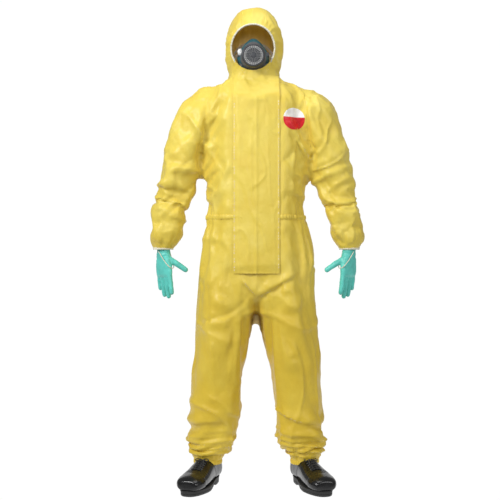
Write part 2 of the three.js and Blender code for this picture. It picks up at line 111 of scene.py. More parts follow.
# [x, z, half width, half depth, y of the centre]
LEG_RINGS = (
    (0.183, 0.050, 0.052, 0.054, 0.014), (0.183, 0.098, 0.052, 0.056, 0.012), (0.182, 0.114, 0.064, 0.068, 0.012),
    (0.178, 0.142, 0.077, 0.078, 0.013), (0.169, 0.199, 0.088, 0.090, 0.010), (0.161, 0.287, 0.091, 0.095, 0.008),
    (0.151, 0.405, 0.098, 0.101, 0.006), (0.138, 0.524, 0.105, 0.108, 0.005), (0.119, 0.642, 0.113, 0.114, 0.006),
    (0.117, 0.720, 0.108, 0.112, 0.007),
)
# [z, half width, front, back] of the hood
HOOD_RINGS = (
    (1.500, 0.092, 0.090, 0.080), (1.527, 0.091, 0.092, 0.086), (1.557, 0.094, 0.096, 0.105),
    (1.587, 0.098, 0.099, 0.120), (1.616, 0.103, 0.101, 0.131), (1.646, 0.107, 0.102, 0.139),
    (1.675, 0.108, 0.102, 0.142), (1.708, 0.102, 0.098, 0.138), (1.742, 0.090, 0.088, 0.123),
    (1.768, 0.074, 0.070, 0.098), (1.784, 0.057, 0.050, 0.070), (1.793, 0.034, 0.029, 0.042),
)


# ---- camera ----
def make_camera():
    data = bpy.data.cameras.new("camera")
    data.lens = 76.9
    data.sensor_width = 36
    camera = bpy.data.objects.new("camera", data)
    bpy.context.scene.collection.objects.link(camera)
    camera.location = (-0.0235, -4.0, 0.8885)
    camera.rotation_euler = (math.radians(90), 0, 0)
    bpy.context.scene.camera = camera


# ---- node helpers ----
def new_material(name, color, roughness, **inputs):
    """A principled material, with its node tree and shader."""
    made = bpy.data.materials.new(name)
    made.use_nodes = True
    shader = made.node_tree.nodes["Principled BSDF"]
    shader.inputs["Base Color"].default_value = (*color, 1)
    shader.inputs["Roughness"].default_value = roughness
    for key, value in inputs.items():
        shader.inputs[key.replace("_", " ")].default_value = value
    return made, made.node_tree, shader


def add_node(tree, kind, **values):
    node = tree.nodes.new(kind)
    for key, value in values.items():
        if key in node.inputs:
            node.inputs[key].default_value = value
        else:
            setattr(node, key, value)
    return node


def object_coordinates(tree, scale=(1, 1, 1)):
    place = add_node(tree, "ShaderNodeTexCoord")
    mapping = add_node(tree, "ShaderNodeMapping")
    mapping.inputs["Scale"].default_value = scale
    tree.links.new(place.outputs["Object"], mapping.inputs["Vector"])
    return mapping.outputs["Vector"]


def add_noise(tree, scale, detail=4, roughness=0.55, distortion=0.0, vector=None):
    node = add_node(tree, "ShaderNodeTexNoise")
    node.inputs["Scale"].default_value = scale
    node.inputs["Detail"].default_value = detail
    node.inputs["Roughness"].default_value = roughness
    node.inputs["Distortion"].default_value = distortion
    tree.links.new(vector or object_coordinates(tree), node.inputs["Vector"])
    return node


def colour_ramp(tree, source, stops):
    ramp = add_node(tree, "ShaderNodeValToRGB")
    elements = ramp.color_ramp.elements
    while len(elements) < len(stops):
        elements.new(0.5)
    for element, (position, color) in zip(elements, stops):
        element.position = position
        element.color = (*color, 1)
    tree.links.new(source, ramp.inputs["Fac"])
    return ramp.outputs["Color"]


def value_range(tree, source, low, high):
    node = add_node(tree, "ShaderNodeMapRange")
    node.inputs["To Min"].default_value = low
    node.inputs["To Max"].default_value = high
    tree.links.new(source, node.inputs["Value"])
    return node.outputs["Result"]


def add_bumps(tree, shader, layers):
    """Bumps laid one on another; each layer is (height output, strength, distance in metres)."""
    normal = None
    for height, strength, distance in layers:
        bump = add_node(tree, "ShaderNodeBump")
        bump.inputs["Strength"].default_value = strength
        bump.inputs["Distance"].default_value = distance
        tree.links.new(height, bump.inputs["Height"])
        if normal:
            tree.links.new(normal, bump.inputs["Normal"])
        normal = bump.outputs["Normal"]
    tree.links.new(normal, shader.inputs["Normal"])


# ---- materials ----
def let_light_through(tree, shader, color, share):
    """Mixes in light that passes through the thin cloth."""
    through = add_node(tree, "ShaderNodeBsdfTranslucent", Color=(*color, 1))
    mix = add_node(tree, "ShaderNodeMixShader")
    mix.inputs["Fac"].default_value = share
    tree.links.new(shader.outputs["BSDF"], mix.inputs[1])
    tree.links.new(through.outputs["BSDF"], mix.inputs[2])
    tree.links.new(mix.outputs["Shader"], tree.nodes["Material Output"].inputs["Surface"])


def coated_fabric():
    """Thin nonwoven under a yellow film: crinkled, slightly glossy and a little translucent. Its colour holds painted
    shade and painted light: darker orange low down, paler yellow higher up.
    """
    made, tree, shader = new_material("coated_fabric", (0.8, 0.62, 0.06), 0.42)
    shader.inputs["Specular IOR Level"].default_value = 0.45
    shader.inputs["Sheen Weight"].default_value = 0.10
    shader.inputs["Sheen Roughness"].default_value = 0.4
    soft = add_noise(tree, 7, 3)
    # Painted shade and painted light: the upper ramp is a paler, lit yellow and the lower ramp a darker, shaded orange;
    # the noise inside each ramp is random tone.
    upper = colour_ramp(tree, soft.outputs["Fac"], (
        (0.3, (0.86, 0.66, 0.095)), (0.55, (0.90, 0.73, 0.125)), (0.75, (0.92, 0.77, 0.175))))
    lower = colour_ramp(tree, soft.outputs["Fac"], (
        (0.3, (0.75, 0.53, 0.040)), (0.55, (0.79, 0.58, 0.055)), (0.75, (0.82, 0.62, 0.075))))
    place = add_node(tree, "ShaderNodeTexCoord")
    split = add_node(tree, "ShaderNodeSeparateXYZ")
    tree.links.new(place.outputs["Object"], split.inputs[0])
    rise = add_node(tree, "ShaderNodeMapRange", interpolation_type="SMOOTHSTEP")
    rise.inputs["From Min"].default_value = 0.35
    rise.inputs["From Max"].default_value = 1.35
    tree.links.new(split.outputs["Z"], rise.inputs["Value"])
    # Blends the painted shade low on the suit into the painted light higher up, by height.
    painted_light_by_height = add_node(tree, "ShaderNodeMix", data_type="RGBA")
    tree.links.new(rise.outputs["Result"], painted_light_by_height.inputs["Factor"])
    tree.links.new(lower, painted_light_by_height.inputs["A"])
    tree.links.new(upper, painted_light_by_height.inputs["B"])
    tree.links.new(painted_light_by_height.outputs["Result"], shader.inputs["Base Color"])
    let_light_through(tree, shader, (0.85, 0.62, 0.06), 0.20)
    patches = add_noise(tree, 24, 5)
    tree.links.new(value_range(tree, patches.outputs["Fac"], 0.32, 0.52), shader.inputs["Roughness"])
    creases = add_noise(tree, 6, 3, 0.5, 0.8)
    creases.noise_type = "RIDGED_MULTIFRACTAL"
    grain = add_noise(tree, 1400, 2)
    add_bumps(tree, shader, (
        (patches.outputs["Fac"], 0.7, 0.006),
        (creases.outputs["Fac"], 0.35, 0.0040),
        (grain.outputs["Fac"], 0.12, 0.0003),
    ))
    return made


def lining():
    """The uncoated inside of the fabric."""
    made, tree, shader = new_material("fabric_inside", (0.88, 0.80, 0.48), 0.85)
    let_light_through(tree, shader, (0.90, 0.74, 0.30), 0.45)
    fibre = add_noise(tree, 900, 3)
    add_bumps(tree, shader, ((fibre.outputs["Fac"], 0.2, 0.0004),))
    return made


def knitted(name, color, scale=420):
    """Elastic or webbing: narrow ribs along its length with a little dirt and fuzz."""
    made, tree, shader = new_material(name, color, 0.85)
    shader.inputs["Sheen Weight"].default_value = 0.25
    ribs = add_node(tree, "ShaderNodeTexWave", bands_direction="DIAGONAL")
    ribs.inputs["Scale"].default_value = scale
    ribs.inputs["Distortion"].default_value = 0.6
    tree.links.new(object_coordinates(tree), ribs.inputs["Vector"])
    patch = add_noise(tree, 60, 4)
    dark = tuple(c * 0.82 for c in color)
    tree.links.new(colour_ramp(tree, patch.outputs["Fac"], ((0.3, dark), (0.65, color))),
                   shader.inputs["Base Color"])
    add_bumps(tree, shader, ((ribs.outputs["Fac"], 0.5, 0.0005),))
    return made


def moulded(name, color, roughness, grain=700, depth=0.0002, spread=0.1, **inputs):
    """Moulded rubber or plastic with a fine grain and uneven gloss."""
    made, tree, shader = new_material(name, color, roughness, **inputs)
    patch = add_noise(tree, 35, 5)
    dark = tuple(c * 0.8 for c in color)
    light = tuple(min(1, c * 1.08) for c in color)
    tree.links.new(colour_ramp(tree, patch.outputs["Fac"], ((0.3, dark), (0.7, light))),
                   shader.inputs["Base Color"])
    tree.links.new(value_range(tree, patch.outputs["Fac"], roughness - spread, roughness + spread),
                   shader.inputs["Roughness"])
    fine = add_noise(tree, grain, 2)
    add_bumps(tree, shader, ((fine.outputs["Fac"], 0.35, depth),))
    return made


make_camera()
FABRIC = coated_fabric()
INSIDE = lining()
ELASTIC = knitted("cream_elastic", (0.80, 0.77, 0.62))
WEBBING = knitted("grey_webbing", (0.70, 0.70, 0.69))
TEAL = moulded("teal_rubber", (0.025, 0.135, 0.180), 0.42)
GREY = moulded("grey_plastic", (0.125, 0.134, 0.145), 0.42)
DARK_GREY = moulded("dark_grey_plastic", (0.038, 0.041, 0.047), 0.45)
FELT = moulded("white_felt", (0.92, 0.92, 0.90), 0.9, grain=300, depth=0.0008)
CLEAR_WHITE = moulded("white_plastic", (0.78, 0.79, 0.78), 0.2)
GLOVE = moulded("glove_rubber", (0.115, 0.60, 0.52), 0.42, grain=260, depth=0.0005)
BOOT = moulded("polished_black", (0.005, 0.005, 0.0055), 0.22, grain=420, depth=0.00025, spread=0.08)
SOLE = moulded("black_sole", (0.012, 0.012, 0.012), 0.6)
LACE = knitted("black_lace", (0.010, 0.010, 0.010), 900)
FOAM = moulded("insole_foam", (0.05, 0.05, 0.05), 0.95, grain=200, depth=0.0008)
ZIP_TAPE = knitted("zip_tape", (0.60, 0.45, 0.05), 700)
ZIP_PLASTIC = moulded("zip_plastic", (0.62, 0.50, 0.10), 0.35)


# ---- mesh helpers ----
def mesh_object(name, vertices, faces, material=None):
    data = bpy.data.meshes.new(name)
    data.from_pydata([tuple(v) for v in vertices], [], faces)
    data.validate()
    made = bpy.data.objects.new(name, data)
    bpy.context.scene.collection.objects.link(made)
    if material:
        data.materials.append(material)
    return made


def smooth(obj, angle=None):
    obj.data.shade_smooth()
    if angle:
        obj.data.set_sharp_from_angle(angle=math.radians(angle))
    return obj


def apply_modifiers(obj):
    """Replaces obj's mesh by what its modifiers make of it."""
    graph = bpy.context.evaluated_depsgraph_get()
    made = bpy.data.meshes.new_from_object(obj.evaluated_get(graph), preserve_all_data_layers=True,
                                           depsgraph=graph)
    obj.modifiers.clear()
    if obj.data.shape_keys:
        obj.shape_key_clear()
    obj.data = made
    return obj


def modify(obj, kind, **values):
    made = obj.modifiers.new(kind.lower(), kind)
    for key, value in values.items():
        setattr(made, key, value)
    return made


def coordinates(obj):
    found = np.empty(len(obj.data.vertices) * 3)
    obj.data.vertices.foreach_get("co", found)
    return found.reshape(-1, 3)


def set_coordinates(obj, values):
    obj.data.vertices.foreach_set("co", np.ascontiguousarray(values).ravel())
    obj.data.update()


def join(objects, name):
    """One mesh object from several, with their materials."""
    joined = bmesh.new()
    materials = []
    for obj in objects:
        start = len(joined.faces)
        obj.data.transform(obj.matrix_world)
        joined.from_mesh(obj.data)
        joined.faces.ensure_lookup_table()
        own = [m for m in obj.data.materials] or [None]
        for m in own:
            if m not in materials:
                materials.append(m)
        for face in joined.faces[start:]:
            face.material_index = materials.index(own[min(face.material_index, len(own) - 1)])
    made = bpy.data.objects.new(name, bpy.data.meshes.new(name))
    joined.to_mesh(made.data)
    joined.free()
    for m in materials:
        if m:
            made.data.materials.append(m)
    bpy.context.scene.collection.objects.link(made)
    for obj in objects:
        bpy.data.objects.remove(obj)
    return made


def loft(name, sections, closed_ends=True, material=None):
    """Skin over sections that all have the same number of points."""
    sides = len(sections[0])
    vertices = [p for s in sections for p in s]
    faces = [(i * sides + k, i * sides + (k + 1) % sides, (i + 1) * sides + (k + 1) % sides, (i + 1) * sides + k)
             for i in range(len(sections) - 1) for k in range(sides)]
    if closed_ends:
        faces.append(tuple(range(sides))[::-1])
        faces.append(tuple(range((len(sections) - 1) * sides, len(sections) * sides)))
    return mesh_object(name, vertices, faces, material)


def refine(rings, count):
    """The rings' numbers at more heights, along a smooth curve through them."""
    table = np.array(rings, float)
    at = np.arange(len(table))
    slopes = np.gradient(table, axis=0)
    wanted = np.linspace(0, len(table) - 1, count)
    low = np.minimum(wanted.astype(int), len(table) - 2)
    t = (wanted - at[low])[:, None]
    a, b, ma, mb = table[low], table[low + 1], slopes[low], slopes[low + 1]
    return (2 * t**3 - 3 * t**2 + 1) * a + (t**3 - 2 * t**2 + t) * ma + (3 * t**2 - 2 * t**3) * b + (t**3 - t**2) * mb


def section(sides, x, y, z, across, front, back, tilt=0.0, squareness=2.3):
    points = []
    for i in range(sides):
        angle = 2 * math.pi * i / sides
        c, s = math.cos(angle), math.sin(angle)
        u = math.copysign(abs(c) ** (2 / squareness), c) * across
        v = math.copysign(abs(s) ** (2 / squareness), s) * (front if s < 0 else back)
        points.append(Vector((x + u * math.cos(tilt), y + v + DEPTH_SHIFT, z + u * math.sin(tilt))))
    return points


def mirrored(points, side):
    return points if side > 0 else [Vector((-p.x, p.y, p.z)) for p in reversed(points)]


def body_loft(name, share=1.0, rings=BODY_RINGS, x=0.0, sides=72):
    return loft(name, [section(sides, x, 0, z, a * share, f * share, b * share)
                       for z, a, f, b in refine(rings, 90)])


def arm_loft(name, side, share=1.0, sides=40):
    return loft(name, [mirrored(section(sides, x, -0.002, z, a * share, d * share, d * share, math.radians(t), 2.1),
                                side) for x, z, a, d, t in refine(ARM_RINGS, 60)])


def leg_loft(name, side, share=1.0, sides=48):
    return loft(name, [mirrored(section(sides, x, y, z, a * share, d * share, d * share, 0, 2.2), side)
                       for x, z, a, d, y in refine(LEG_RINGS, 60)])


# ---- the fabric skin ----
def hood_loft(name, share=1.0, sides=64):
    return loft(name, [section(sides, HOOD_X, 0, z, a * share, f * share, b * share)
                       for z, a, f, b in refine(HOOD_RINGS, 40)])


def smoothstep(low, high, values):
    t = np.clip((values - low) / (high - low), 0, 1)
    return t * t * (3 - 2 * t)


def bell(values, centre, width):
    return np.exp(-((values - centre) / width) ** 2)


def noise_at(points, scale, seed=0.0):
    """Smooth noise at each point; scale is cycles per metre along x, y and z."""
    wanted = points * np.array(scale) + seed
    return np.array([noise.noise(Vector(p)) for p in wanted])


def sharp_folds(points, scale, seed=0.0):
    """Folds with narrow crests, from 0 in the valleys to 1 on a crest."""
    return 1 - np.minimum(1, np.abs(noise_at(points, scale, seed)) * 2.6)


def turned_about_y(points, degrees):
    c, s = math.cos(math.radians(degrees)), math.sin(math.radians(degrees))
    return np.stack((points[:, 0] * c + points[:, 2] * s, points[:, 1],
                     -points[:, 0] * s + points[:, 2] * c), axis=1)


def whole_skin():
    """The garment as one closed skin, before it is creased and cut."""
    lofts = [body_loft("body_form"), hood_loft("hood_form")]
    for name, side in SIDES:
        lofts.append(arm_loft(f"arm_form_{name}", side))
        lofts.append(leg_loft(f"leg_form_{name}", side))
    skin = join(lofts, "skin")
    modify(skin, "REMESH", mode="VOXEL", voxel_size=VOXEL)
    modify(skin, "SMOOTH", factor=0.6, iterations=6)
    return apply_modifiers(skin)


def open_ends(skin):
    """Cuts the skin off at the wrists and hems and opens it at the face."""
    cut = bmesh.new()
    cut.from_mesh(skin.data)

    def slice_at(height, chosen):
        faces = [f for f in cut.faces if chosen(f.calc_center_median())]
        geometry = list({v for f in faces for v in f.verts}) + list({e for f in faces for e in f.edges}) + faces
        bmesh.ops.bisect_plane(cut, geom=geometry, plane_co=(0, 0, height), plane_no=(0, 0, -1), clear_outer=True)

    slice_at(HEM_Z + 0.004, lambda c: c.z < 0.2)
    slice_at(WRIST_END_Z + 0.003, lambda c: c.z < 0.95 and abs(c.x) > 0.285)
    inside = [f for f in cut.faces if f.calc_center_median().y < DEPTH_SHIFT - 0.03
              and opening_distance(f.calc_center_median()) < 1]
    bmesh.ops.delete(cut, geom=inside, context="FACES")
    for vertex in cut.verts:
        if vertex.is_boundary and 1.5 < vertex.co.z and vertex.co.y < DEPTH_SHIFT:
            share = opening_distance(vertex.co)
            vertex.co.x = OPENING.x + (vertex.co.x - OPENING.x) / share
            vertex.co.z = OPENING.z + (vertex.co.z - OPENING.z) / share
    cut.to_mesh(skin.data)
    cut.free()


def opening_distance(point):
    return math.hypot((point.x - OPENING.x) / OPENING_ACROSS, (point.z - OPENING.z) / OPENING_UP)


def arm_share(points):
    """1 on the sleeves and 0 on the body."""
    x, z = np.abs(points[:, 0]), points[:, 2]
    line = np.interp(z, (0.80, 0.907, 1.026, 1.144, 1.203, 1.26, 1.33, 1.60),
                     (0.275, 0.262, 0.222, 0.2155, 0.208, 0.204, 0.188, 0.165))
    return smoothstep(-0.012, 0.012, x - line)


def sculpt(skin):
    """Raises the large folds: facets all over, and deeper creases where the suit bends or is gathered."""
    points = coordinates(skin)
    normals = np.empty(len(points) * 3)
    skin.data.vertices.foreach_get("normal", normals)
    normals = normals.reshape(-1, 3)
    x, y, z = points[:, 0], points[:, 1] - DEPTH_SHIFT, points[:, 2]
    side = np.abs(x)
    arm = arm_share(points) * smoothstep(1.52, 1.44, z)
    hood = smoothstep(1.51, 1.55, z)
    leg = smoothstep(0.74, 0.62, z) * (1 - arm)
    body = (1 - arm) * (1 - hood) * (1 - leg)
    raised = np.zeros(len(points))

    facets = noise_at(points, (6, 6, 3.4), 3.7)
    raised += 0.007 * facets * (1 - 0.7 * hood)
    # Body: long drapes from the shoulders, pulled in towards the waist.
    raised += body * 0.007 * (sharp_folds(points, (9, 9, 2.2), 9.1) - 0.45) * smoothstep(0.06, 0.13, side)
    raised += body * 0.007 * (sharp_folds(turned_about_y(points, 35), (8, 8, 3), 21.0) - 0.4)
    # Waist: gathers on both sides of the elastic.
    turn = np.arctan2(y, x)
    gather = np.sin(46 * turn + 3 * noise_at(points, (14, 14, 5), 4.0))
    raised += body * 0.0042 * gather * bell(z, WAIST_Z, 0.030)
    raised += body * 0.009 * (sharp_folds(points, (16, 16, 4), 14.0) - 0.4) * bell(z, WAIST_Z + 0.01, 0.075)
    # Armholes: one deep crease on each side, and the sleeve's folds that start at it.
    line = np.interp(z, (1.20, 1.26, 1.33, 1.60), (0.208, 0.204, 0.188, 0.165))
    crease = bell(side, line + 0.002, 0.015) * smoothstep(1.50, 1.42, z) * smoothstep(1.19, 1.26, z)
    raised -= 0.011 * crease
    raised += arm * 0.008 * (sharp_folds(points, (11, 11, 3.0), 31.0) - 0.45) \
        * smoothstep(1.13, 1.30, z)
    # Elbows: slanting creases that run round the sleeve.
    for place, level in (("left", 1), ("right", -1)):
        here = (x * level > 0) * arm
        slant = turned_about_y(points, 26 * level)
        raised += here * 0.016 * (sharp_folds(slant, (5, 7, 17), 41.0 + level) - 0.42) * bell(z, ELBOW_Z + 0.01, 0.085)
        raised += here * 0.011 * (sharp_folds(turned_about_y(points, -18 * level), (8, 8, 11), 47.0 + level) - 0.4) \
            * bell(z, 1.02, 0.06)
    # Wrists: fine gathers that run up from the elastic.
    centre = np.where(x > 0, 0.350, -0.350)
    wrist_turn = np.arctan2(y + 0.002, x - centre)
    raised += arm * 0.0035 * np.sin(17 * wrist_turn + 2 * noise_at(points, (20, 20, 9), 5.0)) * smoothstep(0.975, 0.925, z)
    # Crotch: folds that fan out from between the legs.
    angle = np.arctan2(z - 0.63, side + 0.001)
    reach = np.hypot(side, z - 0.63)
    fan = np.cos(13 * angle + 5 * noise_at(points, (5, 5, 5), 55.0))
    raised += 0.004 * fan * bell(reach, 0.13, 0.10) * (1 - arm)
    # Legs: long soft folds, and heavy bunching on top of the boots.
    raised += leg * 0.006 * (sharp_folds(turned_about_y(points, 12), (8, 8, 3.2), 61.0) - 0.42) * smoothstep(0.14, 0.30, z)
    raised += leg * 0.005 * (sharp_folds(points, (4, 5, 9), 67.0) - 0.4) * bell(z, KNEE_Z - 0.02, 0.11)
    bunch = sharp_folds(turned_about_y(points, 14), (4.5, 5, 19), 71.0) - 0.42
    raised += leg * 0.022 * bunch * bell(z, 0.185, 0.055)
    raised += leg * 0.014 * (sharp_folds(turned_about_y(points, -20), (5, 5, 12), 77.0) - 0.4) * bell(z, 0.29, 0.06)
    leg_turn = np.arctan2(y - 0.012, side - 0.183)
    raised += leg * 0.0028 * np.sin(19 * leg_turn) * smoothstep(0.135, 0.105, z)
    # Hood: puckers round the face and soft folds at the neck.
    around = np.arctan2((z - OPENING.z) / OPENING_UP, (x - OPENING.x) / OPENING_ACROSS)
    away = np.hypot((x - OPENING.x) / OPENING_ACROSS, (z - OPENING.z) / OPENING_UP)
    front = smoothstep(0.03, -0.03, y)
    pucker = np.sin(30 * around + 3 * noise_at(points, (18, 18, 18), 80.0))
    raised += hood * front * 0.0028 * pucker * smoothstep(1.45, 1.05, away)
    raised += hood * 0.008 * (sharp_folds(points, (9, 9, 6), 83.0) - 0.45) * smoothstep(1.0, 1.3, away + (1 - front))
    raised += 0.006 * (sharp_folds(points, (15, 15, 4), 88.0) - 0.4) * bell(z, 1.515, 0.03)

    held = smoothstep(HEM_Z, HEM_Z + 0.02, z) * (1 - arm * smoothstep(0.912, 0.895, z))
    rim = front * hood * smoothstep(1.12, 1.02, away)
    raised *= held * (1 - 0.75 * rim)
    behind_flap = smoothstep(0.105, 0.085, side) * (y < 0) * smoothstep(1.50, 1.46, z)
    raised = np.where(behind_flap > 0, raised * (1 - 0.8 * behind_flap), raised)
    set_coordinates(skin, points + normals * raised[:, None])


def mannequin():
    """A slimmer body inside the suit, for the cloth to fall on."""
    forms = [body_loft("m_body", 0.90, sides=40), hood_loft("m_head", 0.86, sides=32)]
    for name, side in SIDES:
        forms.append(arm_loft(f"m_arm_{name}", side, 0.72, sides=20))
        forms.append(leg_loft(f"m_leg_{name}", side, 0.74, sides=24))
    body = join(forms, "mannequin")
    modify(body, "REMESH", mode="VOXEL", voxel_size=0.02)
    apply_modifiers(body)
    body.modifiers.new("collision", "COLLISION")
    body.collision.thickness_outer = 0.003
    return body


def drape(skin, frames=22, cap=0.020):
    """Lets the stiff fabric settle on the mannequin; no point moves further than cap."""
    body = mannequin()
    before = coordinates(skin)
    x, y, z = np.abs(before[:, 0]), before[:, 1] - DEPTH_SHIFT, before[:, 2]
    away = np.hypot((before[:, 0] - OPENING.x) / OPENING_ACROSS, (z - OPENING.z) / OPENING_UP)
    held = np.maximum.reduce((
        smoothstep(HEM_Z + 0.03, HEM_Z + 0.012, z),
        smoothstep(WRIST_END_Z + 0.028, WRIST_END_Z + 0.014, z) * (x > 0.29),
        smoothstep(1.10, 1.04, away) * (y < 0) * (z > 1.5),
        0.9 * bell(z, WAIST_Z, 0.010),
        0.7 * smoothstep(0.105, 0.085, x) * (y < 0) * (z > 0.78) * (z < 1.5),
    ))
    pins = skin.vertex_groups.new(name="held")
    for index, weight in enumerate(held):
        if weight > 0.01:
            pins.add([index], float(weight), "REPLACE")
    cloth = modify(skin, "CLOTH")
    settings = cloth.settings
    settings.quality = 6
    settings.mass = 0.12
    settings.tension_stiffness = 40
    settings.compression_stiffness = 40
    settings.shear_stiffness = 18
    settings.bending_stiffness = 3.0
    settings.tension_damping = settings.compression_damping = settings.shear_damping = 12
    settings.bending_damping = 2
    settings.air_damping = 3
    settings.shrink_min = -0.045
    settings.vertex_group_mass = "held"
    settings.pin_stiffness = 1.5
    cloth.collision_settings.collision_quality = 3
    cloth.collision_settings.distance_min = 0.004
    cloth.point_cache.frame_start = 1
    cloth.point_cache.frame_end = frames
    scene = bpy.context.scene
    scene.frame_start, scene.frame_end = 1, frames
    for frame_number in range(1, frames + 1):
        scene.frame_set(frame_number)
    apply_modifiers(skin)
    scene.frame_set(1)
    moved = coordinates(skin) - before
    length = np.linalg.norm(moved, axis=1)
    share = np.minimum(1, cap / np.maximum(length, 1e-9))
    set_coordinates(skin, before + moved * share[:, None])
    bpy.data.objects.remove(body)


def keep_clear(skin):
    """Brings the fabric up to the back of the storm flap, and keeps it inside the CAD model's space."""
    points = coordinates(skin)
    x, y, z = np.abs(points[:, 0]), points[:, 1], points[:, 2]
    front = y < DEPTH_SHIFT
    behind = FLAP_HIGH.y + 0.0115 - 0.0045 * bell(x, 0.052, 0.020) + 0.006 * smoothstep(0.84, 0.80, z)
    level = smoothstep(0.745, 0.80, z) * smoothstep(1.50, 1.43, z)
    near = smoothstep(0.155, 0.095, x) * level * front
    points[:, 1] = np.where(near > 0, y * (1 - near) + behind * near, y)
    fly = smoothstep(0.012, 0.0, x) * smoothstep(0.70, 0.74, z) * smoothstep(0.86, 0.80, z) * front
    points[:, 1] -= 0.0045 * fly
    groove = smoothstep(0.030, 0.003, x) * smoothstep(0.730, 0.668, z) * (z > 0.55)
    points[:, 1] += 0.052 * groove * np.where(front, 1, -1)
    low, high = CAD_BOX
    points[:, 0] = np.clip(points[:, 0], low.x - 0.02, high.x + 0.02)
    points[:, 1] = np.clip(points[:, 1], low.y - 0.01, high.y + 0.01)
    set_coordinates(skin, points)


def soft_normals(skin):
    """Each point's outward direction on a smoothed copy, so that creases don't cut into each other."""
    copy = bpy.data.objects.new("soft_copy", skin.data.copy())
    bpy.context.scene.collection.objects.link(copy)
    modify(copy, "SMOOTH", factor=0.5, iterations=10)
    apply_modifiers(copy)
    normals = np.empty(len(copy.data.vertices) * 3)
    copy.data.vertices.foreach_get("normal", normals)
    bpy.data.objects.remove(copy)
    return normals.reshape(-1, 3)


def thin_creases(points, scale, seed, width=0.07):
    """Narrow creases along wandering lines, from 0 between them to 1 on a crest."""
    return np.exp(-(noise_at(points, scale, seed) / width) ** 2)


def paper_cells(points, scale, seed):
    """Flat facets that meet in sharp lines, like crumpled stiff paper; 0 on the lines."""
    wanted = points * np.array(scale) + seed
    found = (noise.voronoi(Vector(p))[0] for p in wanted)
    return np.array([d[1] - d[0] for d in found])


